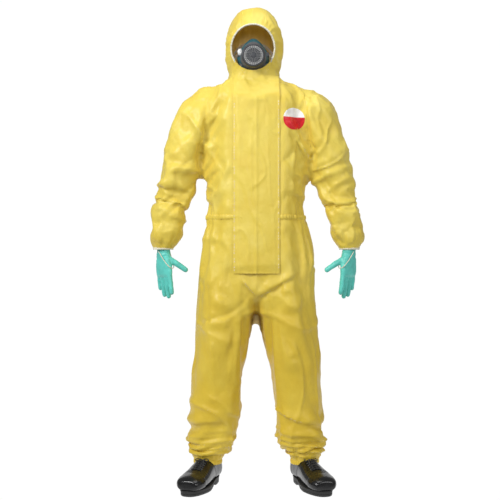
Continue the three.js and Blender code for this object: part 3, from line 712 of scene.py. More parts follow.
def crumple(skin):
    """Adds the sharp small creases of a stiff coated fabric on top of the large folds."""
    points = coordinates(skin)
    normals = soft_normals(skin)
    x, y, z = points[:, 0], points[:, 1] - DEPTH_SHIFT, points[:, 2]
    side = np.abs(x)
    arm = arm_share(points) * smoothstep(1.52, 1.44, z)
    hood = smoothstep(1.51, 1.55, z)
    leg = smoothstep(0.80, 0.66, z) * (1 - arm)
    body = (1 - arm) * (1 - hood) * (1 - leg)
    wander = np.stack([noise_at(points, (5, 5, 5), 300.0 + k) for k in range(3)], axis=1) * 0.05
    bent = points + wander
    raised = 0.0050 * (paper_cells(bent, (7, 7, 3.4), 2.0) - 0.3) * (1 - 0.55 * hood)
    raised += 0.0020 * (paper_cells(bent, (15, 15, 8), 6.0) - 0.3)
    raised += body * 0.0048 * thin_creases(bent, (7, 7, 2.0), 101.0) * smoothstep(0.07, 0.13, side)
    raised += body * 0.0042 * thin_creases(turned_about_y(bent, 40), (7, 7, 2.6), 111.0)
    raised -= body * 0.0036 * thin_creases(turned_about_y(bent, -38), (6, 6, 2.2), 117.0)
    arm_bend = arm * bell(z, ELBOW_Z, 0.12)
    raised += arm * 0.0045 * thin_creases(bent, (8, 8, 2.4), 121.0) * (1 - 0.6 * arm_bend)
    for level in (1, -1):
        here = arm * (x * level > 0)
        raised += here * 0.0075 * thin_creases(turned_about_y(bent, 24 * level), (3.5, 5, 13), 131.0) \
            * bell(z, ELBOW_Z + 0.01, 0.09)
        raised -= here * 0.0055 * thin_creases(turned_about_y(bent, -30 * level), (4, 6, 11), 137.0) \
            * bell(z, ELBOW_Z - 0.07, 0.10)
    # Crotch: a ridge over the zip, and a fold that runs up to each hip from between the legs.
    raised += 0.0060 * bell(x, -0.002, 0.0065) * bell(z, 0.765, 0.035) * (y < 0)
    for level, slope, length in ((1, 0.57, 0.17), (-1, 1.15, 0.06)):
        along = smoothstep(0.0, 0.02, x * level) * smoothstep(length, length * 0.7, x * level) * (y < 0)
        above = z - (0.712 + slope * x * level)
        step = smoothstep(-0.004, 0.005, above) * bell(above, 0, 0.035) - 0.45 * bell(above, -0.010, 0.014)
        raised += 0.0085 * step * along
    leg_low = leg * smoothstep(0.62, 0.5, z)
    raised += leg_low * 0.0036 * thin_creases(turned_about_y(bent, 10), (7, 7, 1.8), 141.0)
    raised += leg * 0.0050 * thin_creases(turned_about_y(bent, 62), (6, 6, 2.4), 151.0) * bell(z, 0.66, 0.12)
    raised -= leg * 0.0050 * thin_creases(turned_about_y(bent, -62), (6, 6, 2.4), 157.0) * bell(z, 0.64, 0.12)
    fold = thin_creases(turned_about_y(bent, 8), (2.6, 3, 21), 161.0, 0.16)
    raised += leg * 0.0070 * (fold - 0.35) * bell(z, 0.165, 0.06) * smoothstep(HEM_Z + 0.01, HEM_Z + 0.04, z)
    roll = z * 46 + 1.5 * noise_at(points, (5.5, 5.5, 3), 171.0)
    roll -= np.floor(roll)
    ledge = np.where(roll < 0.22, roll / 0.22, (1 - (roll - 0.22) / 0.78) ** 1.3)
    raised += leg * 0.0085 * (ledge - 0.45) * bell(z, 0.150, 0.042) * smoothstep(HEM_Z + 0.008, HEM_Z + 0.03, z)
    raised += leg * 0.0065 * thin_creases(turned_about_y(bent, -22), (3, 4, 10), 167.0) * bell(z, 0.27, 0.06)
    away = np.hypot((x - OPENING.x) / OPENING_ACROSS, (z - OPENING.z) / OPENING_UP)
    around = np.arctan2((z - OPENING.z) / OPENING_UP, (x - OPENING.x) / OPENING_ACROSS)
    front = smoothstep(0.03, -0.03, y)
    pleat = np.abs(np.sin(19 * around + 2.5 * noise_at(points, (14, 14, 14), 180.0))) ** 0.6
    raised -= hood * front * 0.0040 * (1 - pleat) * smoothstep(1.50, 1.12, away)
    raised += hood * 0.0035 * thin_creases(bent, (9, 9, 5), 183.0) * smoothstep(1.15, 1.4, away + (1 - front))
    raised += 0.0045 * thin_creases(bent, (11, 11, 4), 188.0) * bell(z, 1.50, 0.05)
    line = np.interp(z, (1.20, 1.26, 1.33, 1.60), (0.208, 0.204, 0.188, 0.165))
    raised -= 0.006 * bell(side, line + 0.002, 0.007) * smoothstep(1.47, 1.38, z) * smoothstep(1.21, 1.25, z)
    shoulder = bell(side, 0.215, 0.055) * bell(z, 1.32, 0.10)
    for level in (1, -1):
        here = shoulder * (x * level > 0)
        raised += here * 0.0075 * thin_creases(turned_about_y(bent, -28 * level), (7, 7, 1.5), 191.0)
        raised -= here * 0.0065 * thin_creases(turned_about_y(bent, -20 * level), (8, 8, 1.8), 197.0)

    held = smoothstep(HEM_Z + 0.004, HEM_Z + 0.03, z) * (1 - arm * smoothstep(0.925, 0.905, z))
    rim = front * hood * smoothstep(1.10, 1.02, away)
    flap_zone = smoothstep(0.105, 0.085, side) * (y < 0) * smoothstep(1.50, 1.46, z) * smoothstep(0.76, 0.80, z)
    raised *= held * (1 - 0.8 * rim) * (1 - 0.85 * flap_zone)
    set_coordinates(skin, points + normals * raised[:, None])
    modify(skin, "SMOOTH", factor=0.35, iterations=1)
    apply_modifiers(skin)


def panel_of(point):
    """The name of the pattern piece that a point of the skin belongs to."""
    side = "left" if point.x > 0 else "right"
    if point.z > NECK_Z:
        if abs(point.x - HOOD_X) < SEAM_HALF and (point.z > OPENING.z or point.y > DEPTH_SHIFT):
            return "hood_centre"
        return "hood_left_side" if point.x > HOOD_X else "hood_right_side"
    line = np.interp(point.z, (0.80, 0.907, 1.026, 1.144, 1.203, 1.26, 1.33, 1.60),
                     (0.275, 0.262, 0.222, 0.2155, 0.208, 0.204, 0.188, 0.165))
    if abs(point.x) > line and point.z > 0.85:
        return f"sleeve_{side}" if sleeve_depth(point) < 0 else f"cuff_sleeve_{side}"
    if point.z < THIGH_SPLIT_Z:
        return f"shin_fabric_{side}"
    if point.z < WAIST_Z:
        return f"trouser_{side}"
    return f"front_{side}" if point.y < DEPTH_SHIFT + 0.012 else "back"


# The sleeve is divided by a slanting plane, lower on the inside of the arm.
SLEEVE_CUT_NORMAL = Vector((0.634, 0, -0.773))
SLEEVE_CUT = Vector((0.243, 0, 1.12))


def sleeve_depth(point):
    return (Vector((abs(point.x), 0, point.z)) - SLEEVE_CUT).dot(SLEEVE_CUT_NORMAL)


def cut_planes():
    """(point on the plane, its normal, test for the faces it cuts) for every line that divides the skin."""
    everywhere = DEPTH_SHIFT
    planes = [
        ((0, 0, NECK_Z), (0, 0, 1), lambda c: abs(c.z - NECK_Z) < 0.03),
        ((0, 0, WAIST_Z), (0, 0, 1), lambda c: abs(c.z - WAIST_Z) < 0.03 and abs(c.x) < 0.222),
        ((0, 0, THIGH_SPLIT_Z), (0, 0, 1), lambda c: abs(c.z - THIGH_SPLIT_Z) < 0.03),
        ((0, 0, 0), (1, 0, 0), lambda c: abs(c.x) < 0.03 and c.z < NECK_Z),
        ((0, everywhere + 0.012, 0), (0, 1, 0), lambda c: WAIST_Z < c.z < NECK_Z and abs(c.x) < 0.215),
        ((0, 0, OPENING.z), (0, 0, 1), lambda c: c.z > 1.6 and abs(c.x) < 0.06 and c.y < DEPTH_SHIFT),
        ((0, everywhere, 0), (0, 1, 0), lambda c: c.z > NECK_Z and abs(c.x) < 0.06),
    ]
    for x in (HOOD_X - SEAM_HALF, HOOD_X + SEAM_HALF):
        planes.append(((x, 0, 0), (1, 0, 0), lambda c: c.z > NECK_Z - 0.01))
    for _, side in SIDES:
        here = lambda c, s=side: c.x * s > 0.12
        planes.append(((0.188 * side, 0, 1.33), (0.27 * side, 0, 0.023),
                       lambda c, h=here: h(c) and 1.32 < c.z < NECK_Z))
        planes.append(((0.204 * side, 0, 1.26), (0.07 * side, 0, 0.016),
                       lambda c, h=here: h(c) and 1.25 < c.z < 1.34))
        planes.append(((SLEEVE_CUT.x * side, 0, SLEEVE_CUT.z), (SLEEVE_CUT_NORMAL.x * side, 0, SLEEVE_CUT_NORMAL.z),
                       lambda c, s=side: c.x * s > 0.2 and 1.05 < c.z < 1.30))
    return planes


def cut_panels(skin):
    """Divides the skin; gives its mesh and the faces of each pattern piece."""
    cloth = bmesh.new()
    cloth.from_mesh(skin.data)
    cloth.normal_update()
    for place, normal, chosen in cut_planes():
        faces = [f for f in cloth.faces if chosen(f.calc_center_median())]
        geometry = list({v for f in faces for v in f.verts}) + list({e for f in faces for e in f.edges}) + faces
        bmesh.ops.bisect_plane(cloth, geom=geometry, plane_co=place, plane_no=normal)
    cloth.normal_update()
    panels = {}
    for face in cloth.faces:
        panels.setdefault(panel_of(face.calc_center_median()), []).append(face)
    return cloth, panels


FABRIC_THICKNESS = 0.0007


def shell(name, faces, outside=FABRIC, inside=INSIDE):
    """A pattern piece: its outside, its inside and the rim between them, shaded like the whole skin."""
    index = {}
    for face in faces:
        for vertex in face.verts:
            index.setdefault(vertex, len(index))
    count = len(index)
    vertices = [v.co.copy() for v in index] + [v.co - v.normal * FABRIC_THICKNESS for v in index]
    outer = [[index[v] for v in f.verts] for f in faces]
    inner = [[index[v] + count for v in reversed(f.verts)] for f in faces]
    chosen = set(faces)
    rim = []
    for face in faces:
        for loop in face.loops:
            if sum(f in chosen for f in loop.edge.link_faces) == 1:
                a, b = index[loop.vert], index[loop.link_loop_next.vert]
                rim.append([b, a, a + count, b + count])
    data = bpy.data.meshes.new(name)
    data.from_pydata(vertices, [], outer + inner + rim)
    data.materials.append(outside)
    data.materials.append(inside)
    data.polygons.foreach_set("material_index", [0] * len(outer) + [1] * len(inner) + [0] * len(rim))
    data.shade_smooth()
    normals = [v.normal.copy() for v in index]
    data.normals_split_custom_set_from_vertices(normals + [-n for n in normals])
    made = bpy.data.objects.new(name, data)
    bpy.context.scene.collection.objects.link(made)
    return made


skin = whole_skin()
open_ends(skin)
sculpt(skin)
drape(skin)
keep_clear(skin)
modify(skin, "SUBSURF", levels=1)
apply_modifiers(skin)
crumple(skin)
cloth, panels = cut_panels(skin)
print("panels", {k: len(v) for k, v in panels.items()})
pieces = {name: shell(name, faces) for name, faces in panels.items()}
bpy.data.objects.remove(skin)

for name in ("front_left", "front_right", "back"):
    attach(pieces[name], "torso")
for side, s in SIDES:
    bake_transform(pieces[f"sleeve_{side}"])
    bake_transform(pieces[f"cuff_sleeve_{side}"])
    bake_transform(pieces[f"trouser_{side}"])
    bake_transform(pieces[f"shin_fabric_{side}"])
for name in ("hood_centre", "hood_left_side", "hood_right_side"):
    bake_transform(pieces[name])

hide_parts("front_panel_left")
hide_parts("front_panel_right")
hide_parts("back_panel")
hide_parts("hood_centre_panel", "neck_fabric")
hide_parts("hood_left_panel")
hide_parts("hood_right_panel")
for side, s in SIDES:
    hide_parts(f"shoulder_fabric_{side}", f"upper_sleeve_{side}")
    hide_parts(f"elbow_fabric_{side}", f"lower_sleeve_{side}")
    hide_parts(f"seat_{side}", f"thigh_{side}")
    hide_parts(f"knee_fabric_{side}", f"shin_{side}")


# ---- seams, worked from the edges where two pattern pieces meet ----
def meeting_line(first, second):
    """The points and outward directions along the line between two pattern pieces, in order."""
    owner = {}
    for name in (first, second):
        for face in panels[name]:
            owner[face] = name
    shared = [e for e in cloth.edges if {owner.get(f) for f in e.link_faces} == {first, second}]
    near = {}
    for edge in shared:
        a, b = edge.verts
        near.setdefault(a, []).append(b)
        near.setdefault(b, []).append(a)
    longest = []
    left = set(near)
    while left:
        ends = sorted((v for v in left if len(near[v]) == 1), key=lambda v: v.index)
        here = ends[0] if ends else min(left, key=lambda v: v.index)
        chain = []
        while here:
            chain.append(here)
            left.discard(here)
            here = next((v for v in near[here] if v in left), None)
        if len(chain) > len(longest):
            longest = chain
    return [(v.co.copy(), v.normal.copy()) for v in longest]


def ribbon(name, line, material=FABRIC, half_width=0.0026, height=0.0009, closed=False):
    """A narrow raised strip along a line of points and outward directions."""
    profile = ((-1, 0.0), (-0.7, 0.8), (0, 1.0), (0.7, 0.8), (1, 0.0))
    sections = []
    count = len(line)
    for i, (point, outward) in enumerate(line):
        after, before = min(i + 1, count - 1), max(i - 1, 0)
        if closed:
            after, before = (i + 1) % count, i - 1
        along = (line[after][0] - line[before][0]).normalized()
        across = outward.cross(along).normalized()
        sections.append([point + across * u * half_width + outward * (0.0001 + v * height) for u, v in profile])
    steps = count if closed else count - 1
    width = len(profile)
    faces = [(i * width + k, i * width + k + 1, ((i + 1) % count) * width + k + 1, ((i + 1) % count) * width + k)
             for i in range(steps) for k in range(width - 1)]
    made = mesh_object(name, [p for s in sections for p in s], faces, material)
    return smooth(made)


def seam(name, first, second, body=None, blend=None):
    line = meeting_line(first, second)
    if len(line) < 3:
        return None
    made = ribbon(name, line)
    if blend:
        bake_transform(made)
    else:
        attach(made, body)
    return made


HOOD_BLEND = (("torso", "hood"), (0, DEPTH_SHIFT, NECK_Z + 0.001), (0, DEPTH_SHIFT, 1.54))
for side, s in SIDES:
    seam(f"armhole_seam_front_{side}", f"front_{side}", f"sleeve_{side}", "torso")
    seam(f"armhole_seam_back_{side}", "back", f"sleeve_{side}", "torso")
    seam(f"side_seam_{side}", f"front_{side}", "back", "torso")
    seam(f"neck_seam_{side}", f"front_{side}", f"hood_{side}_side", "torso")
    seam(f"hood_seam_{side}", "hood_centre", f"hood_{side}_side", blend=HOOD_BLEND)
seam("neck_seam_back", "back", "hood_centre", "torso")


# ---- gathered elastic round the openings ----
def ring_line(points, centre, axes, count=180):
    """Points sorted round a centre and spaced evenly by angle; axes are the two directions of the turn."""
    rows = []
    for p in points:
        d = p - centre
        rows.append((math.atan2(d.dot(axes[1]), d.dot(axes[0])), *p))
    rows = np.array(sorted(rows))
    wanted = np.linspace(-math.pi, math.pi, count, endpoint=False)
    return [Vector([np.interp(a, rows[:, 0], rows[:, k], period=2 * math.pi) for k in (1, 2, 3)]) for a in wanted]


def gathered_band(name, ring, centre, axis, half_height, thickness, gathers, depth, material):
    """A closed elastic band round a ring of points; its surface is pulled into small gathers."""
    profile = [(math.cos(a), math.sin(a)) for a in np.linspace(0, 2 * math.pi, 12, endpoint=False)]
    sections = []
    count = len(ring)
    for i, point in enumerate(ring):
        along = (ring[(i + 1) % count] - ring[i - 1]).normalized()
        outward = along.cross(axis).normalized()
        if outward.dot(point - centre) < 0:
            outward.negate()
        wave = math.sin(2 * math.pi * gathers * i / count) + 0.5 * math.sin(1.7 * 2 * math.pi * gathers * i / count + 1)
        sections.append([point + outward * (thickness * (0.55 + c * (1 + depth * wave)))
                         + axis * half_height * s * (1 + 0.10 * wave) for c, s in profile])
    sides = len(profile)
    faces = [(i * sides + k, i * sides + (k + 1) % sides, ((i + 1) % count) * sides + (k + 1) % sides,
              ((i + 1) % count) * sides + k) for i in range(count) for k in range(sides)]
    made = mesh_object(name, [p for s in sections for p in s], faces, material)
    bm = bmesh.new()
    bm.from_mesh(made.data)
    bmesh.ops.recalc_face_normals(bm, faces=bm.faces)
    bm.to_mesh(made.data)
    bm.free()
    return smooth(made)


def open_rim(names, chosen):
    """The free edge of the pattern pieces, where chosen(point) is true."""
    wanted = {f for n in names for f in panels[n]}
    return [v.co.copy() for v in {v for f in wanted for v in f.verts}
            if v.is_boundary and chosen(v.co)]


X_AXIS, Y_AXIS, Z_AXIS = Vector((1, 0, 0)), Vector((0, 1, 0)), Vector((0, 0, 1))
face_rim = open_rim(("hood_centre", "hood_left_side", "hood_right_side"), lambda p: p.z > 1.53)
face_ring = ring_line(face_rim, Vector((OPENING.x, 0, OPENING.z)), (X_AXIS, Z_AXIS), 320)
for point in face_ring:  # under the chin the elastic is turned in, behind the mask
    tuck = float(smoothstep(OPENING.z - 0.040, OPENING.z - 0.062, point.z))
    point += Vector((0, 0.020, -0.004)) * tuck
binding = gathered_band("face_elastic", face_ring, Vector((OPENING.x, DEPTH_SHIFT, OPENING.z)), Y_AXIS,
                        0.0042, 0.0034, 58, 0.22, ELASTIC)
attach(binding, "hood")
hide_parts("face_binding")

waist = [p for n in ("left", "right") for p, _ in meeting_line(f"front_{n}", f"trouser_{n}")]
waist += [p for n in ("left", "right") for p, _ in meeting_line("back", f"trouser_{n}")]
waist_ring = ring_line(waist, Vector((0, DEPTH_SHIFT, WAIST_Z)), (X_AXIS, Y_AXIS), 360)
band = gathered_band("waist_gathers", waist_ring, Vector((0, DEPTH_SHIFT, WAIST_Z)), Z_AXIS,
                     0.0085, 0.0022, 88, 0.6, FABRIC)
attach(band, "torso")
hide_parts("waist_elastic")

for side, s in SIDES:
    low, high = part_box(f"wrist_elastic_{side}")
    centre = (low + high) / 2
    rim = open_rim((f"cuff_sleeve_{side}",), lambda p: p.z < 0.93)
    ring = ring_line([Vector((p.x, p.y, centre.z)) for p in rim], centre, (X_AXIS, Y_AXIS), 150)
    band = gathered_band(f"wrist_gathers_{side}", ring, centre, Z_AXIS, 0.0060, 0.0016, 30, 0.5, ELASTIC)
    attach(band, f"forearm_{side}")
    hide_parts(f"wrist_elastic_{side}")
    low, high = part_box(f"ankle_elastic_{side}")
    centre = (low + high) / 2
    rim = open_rim((f"shin_fabric_{side}",), lambda p: p.z < 0.12)
    ring = ring_line([Vector((p.x, p.y, centre.z)) for p in rim], centre, (X_AXIS, Y_AXIS), 200)
    band = gathered_band(f"hem_gathers_{side}", ring, centre, Z_AXIS, 0.0085, 0.0018, 38, 0.6, FABRIC)
    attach(band, f"lower_leg_{side}")
    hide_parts(f"ankle_elastic_{side}")


# ---- storm flap, chin piece, zip and label ----
def grid_shell(name, across, up, place, outside=FABRIC, inside=INSIDE):
    """A thin piece over a grid; place gives the point for shares (u, v) from 0 to 1."""
    made = bmesh.new()
    rows = [[made.verts.new(place(i / across, j / up)) for i in range(across + 1)] for j in range(up + 1)]
    for j in range(up):
        for i in range(across):
            made.faces.new((rows[j][i], rows[j][i + 1], rows[j + 1][i + 1], rows[j + 1][i]))
    made.normal_update()
    result = shell(name, list(made.faces), outside, inside)
    made.free()
    return result


FLAP_HALF = (FLAP_HIGH.x - FLAP_LOW.x) / 2


def flap_front(x, z):
    """Depth of the flap's face: a ridge over the zip, hems at both edges and soft creases."""
    share = abs(x) / FLAP_HALF
    curve = 0.0095 * share ** 2.4
    ridge = -0.0022 * math.exp(-(x / 0.0045) ** 2)
    hem = -0.0016 if share > 0.91 else 0
    slow = noise.noise(Vector((x * 9 + 5, 2.0, z * 5)))
    crease = math.exp(-(noise.noise(Vector((x * 12 + z * 4, 7.0, z * 7 - x * 4))) / 0.08) ** 2)
    drape = math.exp(-(noise.noise(Vector((x * 15, 17.0, z * 2.2))) / 0.09) ** 2)
    near, far = noise.voronoi(Vector((x * 12, 3.0, z * 7)))[0][:2]
    folds = 0.0030 * slow - 0.0026 * crease - 0.0020 * drape - 0.0026 * (far - near - 0.3)
    end = 0.0055 * float(smoothstep(FLAP_LOW.z + 0.035, FLAP_LOW.z, z))
    return FLAP_LOW.y + 0.0022 + curve + ridge + hem + end + folds * (1 - 0.55 * share)


flap = grid_shell("storm_flap_fabric", 44, 170, lambda u, v: Vector((
    (u * 2 - 1) * FLAP_HALF, flap_front((u * 2 - 1) * FLAP_HALF, FLAP_LOW.z + v * (FLAP_HIGH.z - FLAP_LOW.z)),
    FLAP_LOW.z + v * (FLAP_HIGH.z - FLAP_LOW.z))))
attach(flap, "flap")
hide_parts("storm_flap")

CHIN_TOP = 1.536


def surface_of(*names):
    """A search tree over the outside of some pieces."""
    vertices, faces = [], []
    for name in names:
        data = bpy.data.objects[name].data
        start = len(vertices)
        vertices += [v.co.copy() for v in data.vertices]
        faces += [[start + i for i in p.vertices] for p in data.polygons]
    return BVHTree.FromPolygons(vertices, faces)


def chin_flap():
    """The flap's top part, sewn to the body, which follows the neck up to the chin."""
    tree = surface_of("front_left", "front_right", "hood_left_side", "hood_right_side", "hood_centre")

    def place(u, v):
        x = (u * 2 - 1) * FLAP_HALF * (1 - 0.03 * v)
        z = FLAP_HIGH.z - 0.0004 + v * (CHIN_TOP - FLAP_HIGH.z)
        start = flap_front(x, z)
        hits = [tree.ray_cast(Vector((x, DEPTH_SHIFT - 0.3, z + dz)), Y_AXIS)[0] for dz in (-0.010, -0.005, 0, 0.005, 0.010)]
        under = min([h.y for h in hits if h] or [start + 0.04]) - 0.0024
        share = min(1, max(0, (z - FLAP_HIGH.z - 0.002) / 0.040))
        share = share * share * (3 - 2 * share)
        return Vector((x, min(start * (1 - share) + under * share, under), z))

    return grid_shell("chin_flap", 40, 30, place)


chin = chin_flap()
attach(chin, "torso")


def specks(name, edge, body, low, high, seed):
    """Short white dashes of adhesive tape that show along a hem."""
    vertices, faces = [], []
    z = low
    step = 0
    while z < high:
        step += 1
        length = 0.0035 + 0.0035 * abs(noise.noise(Vector((step * 1.37, seed, 0))))
        x = edge + 0.0012 * noise.noise(Vector((step * 2.1, seed, 4)))
        if noise.noise(Vector((step * 0.61, seed, 9))) > -0.12:
            start = len(vertices)
            for dx, dz in ((-0.0009, 0), (0.0009, 0), (0.0009, length), (-0.0009, length)):
                vertices.append(Vector((x + dx, flap_front(x + dx, z + dz) - 0.0004, z + dz)))
            faces.append((start, start + 1, start + 2, start + 3))
        z += 0.0105
    made = mesh_object(name, vertices, faces, FELT)
    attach(made, body)
    return made


specks("flap_tape_left", FLAP_HALF * 0.955, "flap", FLAP_LOW.z + 0.01, FLAP_HIGH.z - 0.006, 1)
specks("flap_tape_right", -FLAP_HALF * 0.955, "flap", FLAP_LOW.z + 0.01, FLAP_HIGH.z - 0.006, 2)


def block(bm, centre, size, turn=None):
    """One bevelled block added to a bmesh."""
    matrix = Matrix.Translation(centre) @ (turn or Matrix()) @ Matrix.Diagonal((*size, 1))
    made = bmesh.ops.create_cube(bm, size=1, matrix=matrix)
    edges = list({e for v in made["verts"] for e in v.link_edges})
    bmesh.ops.bevel(bm, geom=edges, offset=min(size) * 0.22, segments=1, affect="EDGES")


def from_bmesh(name, bm, material, angle=35):
    made = bpy.data.objects.new(name, bpy.data.meshes.new(name))
    bm.to_mesh(made.data)
    bm.free()
    made.data.materials.append(material)
    bpy.context.scene.collection.objects.link(made)
    return smooth(made, angle)


def zip_teeth():
    low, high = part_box("zip_chain")
    made = bmesh.new()
    middle = (low + high) / 2
    pitch = 0.0034
    for step in range(int((high.z - low.z) / pitch)):
        side = 1 if step % 2 else -1
        block(made, (middle.x + side * 0.0007, middle.y, low.z + (step + 0.5) * pitch),
              ((high.x - low.x) * 0.72, high.y - low.y, pitch * 0.62))
    return from_bmesh("zip_teeth", made, ZIP_PLASTIC)


teeth = zip_teeth()
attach(teeth, "torso")
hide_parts("zip_chain")


def chest_label():
    """A round film label, white above and red below, that follows the fabric under it."""
    low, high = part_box("chest_label")
    centre = (low + high) / 2
    radius = (high.x - low.x) / 2
    tree = surface_of("front_left")

    def place(share, angle, lift):
        x, z = centre.x + radius * share * math.cos(angle), centre.z + radius * share * math.sin(angle)
        hit = tree.ray_cast(Vector((x, DEPTH_SHIFT - 0.3, z)), Y_AXIS)[0]
        return Vector((x, (hit.y if hit else centre.y) - lift, z))

    rings, sides = 12, 64
    made = bmesh.new()
    middle = made.verts.new(place(0, 0, 0.0012))
    rows = [[made.verts.new(place(r / rings, 2 * math.pi * k / sides, 0.0012 if r < rings else 0.0005))
             for k in range(sides)] for r in range(1, rings + 1)]
    for k in range(sides):
        made.faces.new((middle, rows[0][k], rows[0][(k + 1) % sides]))
        for r in range(rings - 1):
            made.faces.new((rows[r][k], rows[r + 1][k], rows[r + 1][(k + 1) % sides], rows[r][(k + 1) % sides]))
    bmesh.ops.recalc_face_normals(made, faces=made.faces)
    made.normal_update()
    if made.faces[0].normal.y > 0:
        bmesh.ops.reverse_faces(made, faces=made.faces)
        made.normal_update()
    film, tree_, shader = new_material("label_film_print", (0.7, 0.02, 0.02), 0.35)
    place_node = add_node(tree_, "ShaderNodeTexCoord")
    split = add_node(tree_, "ShaderNodeSeparateXYZ")
    tree_.links.new(place_node.outputs["Object"], split.inputs[0])
    edge = add_node(tree_, "ShaderNodeMapRange")
    divide = centre.z + radius * 0.16
    edge.inputs["From Min"].default_value = divide - 0.0006
    edge.inputs["From Max"].default_value = divide + 0.0006
    tree_.links.new(split.outputs["Z"], edge.inputs["Value"])
    mix = add_node(tree_, "ShaderNodeMix", data_type="RGBA")
    mottled = add_noise(tree_, 90, 4)
    red = colour_ramp(tree_, mottled.outputs["Fac"], ((0.35, (0.60, 0.012, 0.02)), (0.65, (0.74, 0.022, 0.03))))
    tree_.links.new(edge.outputs["Result"], mix.inputs["Factor"])
    tree_.links.new(red, mix.inputs["A"])
    mix.inputs["B"].default_value = (0.86, 0.85, 0.82, 1)
    tree_.links.new(mix.outputs["Result"], shader.inputs["Base Color"])
    wrinkle = add_noise(tree_, 120, 3)
    add_bumps(tree_, shader, ((wrinkle.outputs["Fac"], 0.25, 0.001),))
    return shell("label_disc", list(made.faces), film, film)


label = chest_label()
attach(label, "torso")
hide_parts("chest_label")


# ---- respirator ----
def turned_piece(name, profile, back_y, material, segments=96, angle=32):
    """A round piece turned about the mask's axis; the profile is (radius, distance out), from the back outwards."""
    vertices, faces = [], []
    for radius, out in profile:
        for k in range(segments):
            a = 2 * math.pi * k / segments
            vertices.append(Vector((MASK.x + radius * math.cos(a), back_y - out, MASK.z + radius * math.sin(a))))
    for i in range(len(profile) - 1):
        for k in range(segments):
            a, b = i * segments + k, i * segments + (k + 1) % segments
            faces.append((a, b, b + segments, a + segments))
    made = mesh_object(name, vertices, faces, material)
    bm = bmesh.new()
    bm.from_mesh(made.data)
    bmesh.ops.remove_doubles(bm, verts=bm.verts, dist=1e-6)
    bmesh.ops.recalc_face_normals(bm, faces=bm.faces)
    bm.to_mesh(made.data)
    bm.free()
    return smooth(made, angle)


def face_cup():
    """The moulded rubber cup: a rolled seal at the face, a nose peak and a round front for the filter."""
    # [y, across, up, down]
    rings = ((-0.0465, 0.060, 0.076, 0.052), (-0.050, 0.0615, 0.0775, 0.0535), (-0.054, 0.0585, 0.073, 0.0515),
             (-0.060, 0.056, 0.068, 0.050), (-0.068, 0.052, 0.062, 0.0475), (-0.076, 0.048, 0.056, 0.045),
             (-0.084, 0.044, 0.047, 0.0425), (-0.0915, 0.0405, 0.0405, 0.0405), (-0.0915, 0.030, 0.030, 0.030))
    sides = 72
    sections = []
    for y, across, up, down in rings:
        points = []
        for k in range(sides):
            a = 2 * math.pi * k / sides
            c, s = math.cos(a), math.sin(a)
            narrow = 1 - 0.35 * max(0, s) ** 1.5 * max(0, up - 0.040) / 0.036
            flute = 1 - 0.020 * math.exp(-((abs(c) - 0.80) / 0.10) ** 2) * (y > -0.088)
            points.append(Vector((MASK.x + narrow * flute * across * c, y + DEPTH_SHIFT,
                                  MASK.z + (up if s > 0 else down) * flute * s)))
        sections.append(points)
    made = loft("respirator_cup", sections, closed_ends=False, material=TEAL)
    bm = bmesh.new()
    bm.from_mesh(made.data)
    bmesh.ops.recalc_face_normals(bm, faces=bm.faces)
    bm.to_mesh(made.data)
    bm.free()
    modify(made, "SOLIDIFY", thickness=0.0024, offset=-1)
    modify(made, "SUBSURF", levels=1)
    return smooth(apply_modifiers(made))


def grille():
    """The cap's front: rings and staggered ribs with the white pre-filter showing between them."""
    radii = (0.0105, 0.0142, 0.0180, 0.0218, 0.0256, 0.0302, 0.0354)
    ribs = (12, 16, 20, 24, 26, 30)
    widths = (0.0026, 0.0026, 0.0026, 0.0024, 0.0014, 0.0014)
    face_y = CAP_LOW.y + 0.0012
    made = bmesh.new()
    for inner, outer, count, width in zip(radii, radii[1:], ribs, widths):
        for k in range(count):
            angle = 2 * math.pi * (k + 0.5 * (count % 2)) / count
            middle = (inner + outer) / 2
            centre = (MASK.x + middle * math.cos(angle), face_y + 0.0008, MASK.z + middle * math.sin(angle))
            block(made, centre, (outer - inner, 0.0020, width), Matrix.Rotation(-angle, 4, "Y"))
    ribs_piece = from_bmesh("cap_ribs", made, DARK_GREY)
    rings = [ribs_piece]
    for index, radius in enumerate(radii):
        half = 0.0012 if index < 5 else 0.0006
        rings.append(turned_piece(f"cap_ring_{index}", (
            (radius - half, 0), (radius - half, 0.0016), (radius - half / 2, 0.0021), (radius + half / 2, 0.0021),
            (radius + half, 0.0016), (radius + half, 0), (radius - half, 0)), face_y + 0.0018, DARK_GREY))
    rings.append(turned_piece("cap_boss", ((0.0001, 0.0034), (0.0070, 0.0032), (0.0094, 0.0022), (0.0102, 0)),
                              face_y + 0.0018, DARK_GREY))
    return join(rings, "cap_grille")


cup = face_cup()
housing = turned_piece("filter_body", (
    (0.0280, 0), (0.0395, 0), (0.0410, 0.0010), (0.0412, 0.0050), (0.0402, 0.0058), (0.0402, 0.0075),
    (0.0412, 0.0083), (0.0412, 0.0160), (0.0395, 0.0190), (0.0300, 0.0192), (0.0280, 0.0190), (0.0280, 0)),
    DEPTH_SHIFT - 0.0924, GREY)
rim = turned_piece("cap_rim", (
    (0.0395, 0.0005), (0.0425, 0.0002), (0.0430, 0.0012), (0.0430, 0.0180), (0.0424, 0.0205), (0.0405, 0.0228),
    (0.0385, 0.0236), (0.0368, 0.0234), (0.0362, 0.0222), (0.0362, 0.0190), (0.0400, 0.0185), (0.0395, 0.0005)),
    CAP_HIGH.y, DARK_GREY)
grip = bmesh.new()
for k in range(40):
    angle = 2 * math.pi * k / 40
    block(grip, (MASK.x + 0.0430 * math.cos(angle), CAP_HIGH.y - 0.0095, MASK.z + 0.0430 * math.sin(angle)),
          (0.0012, 0.0140, 0.0022), Matrix.Rotation(-angle, 4, "Y"))
cap_piece = join([rim, from_bmesh("cap_grip", grip, DARK_GREY), grille()], "filter_cap_moulding")
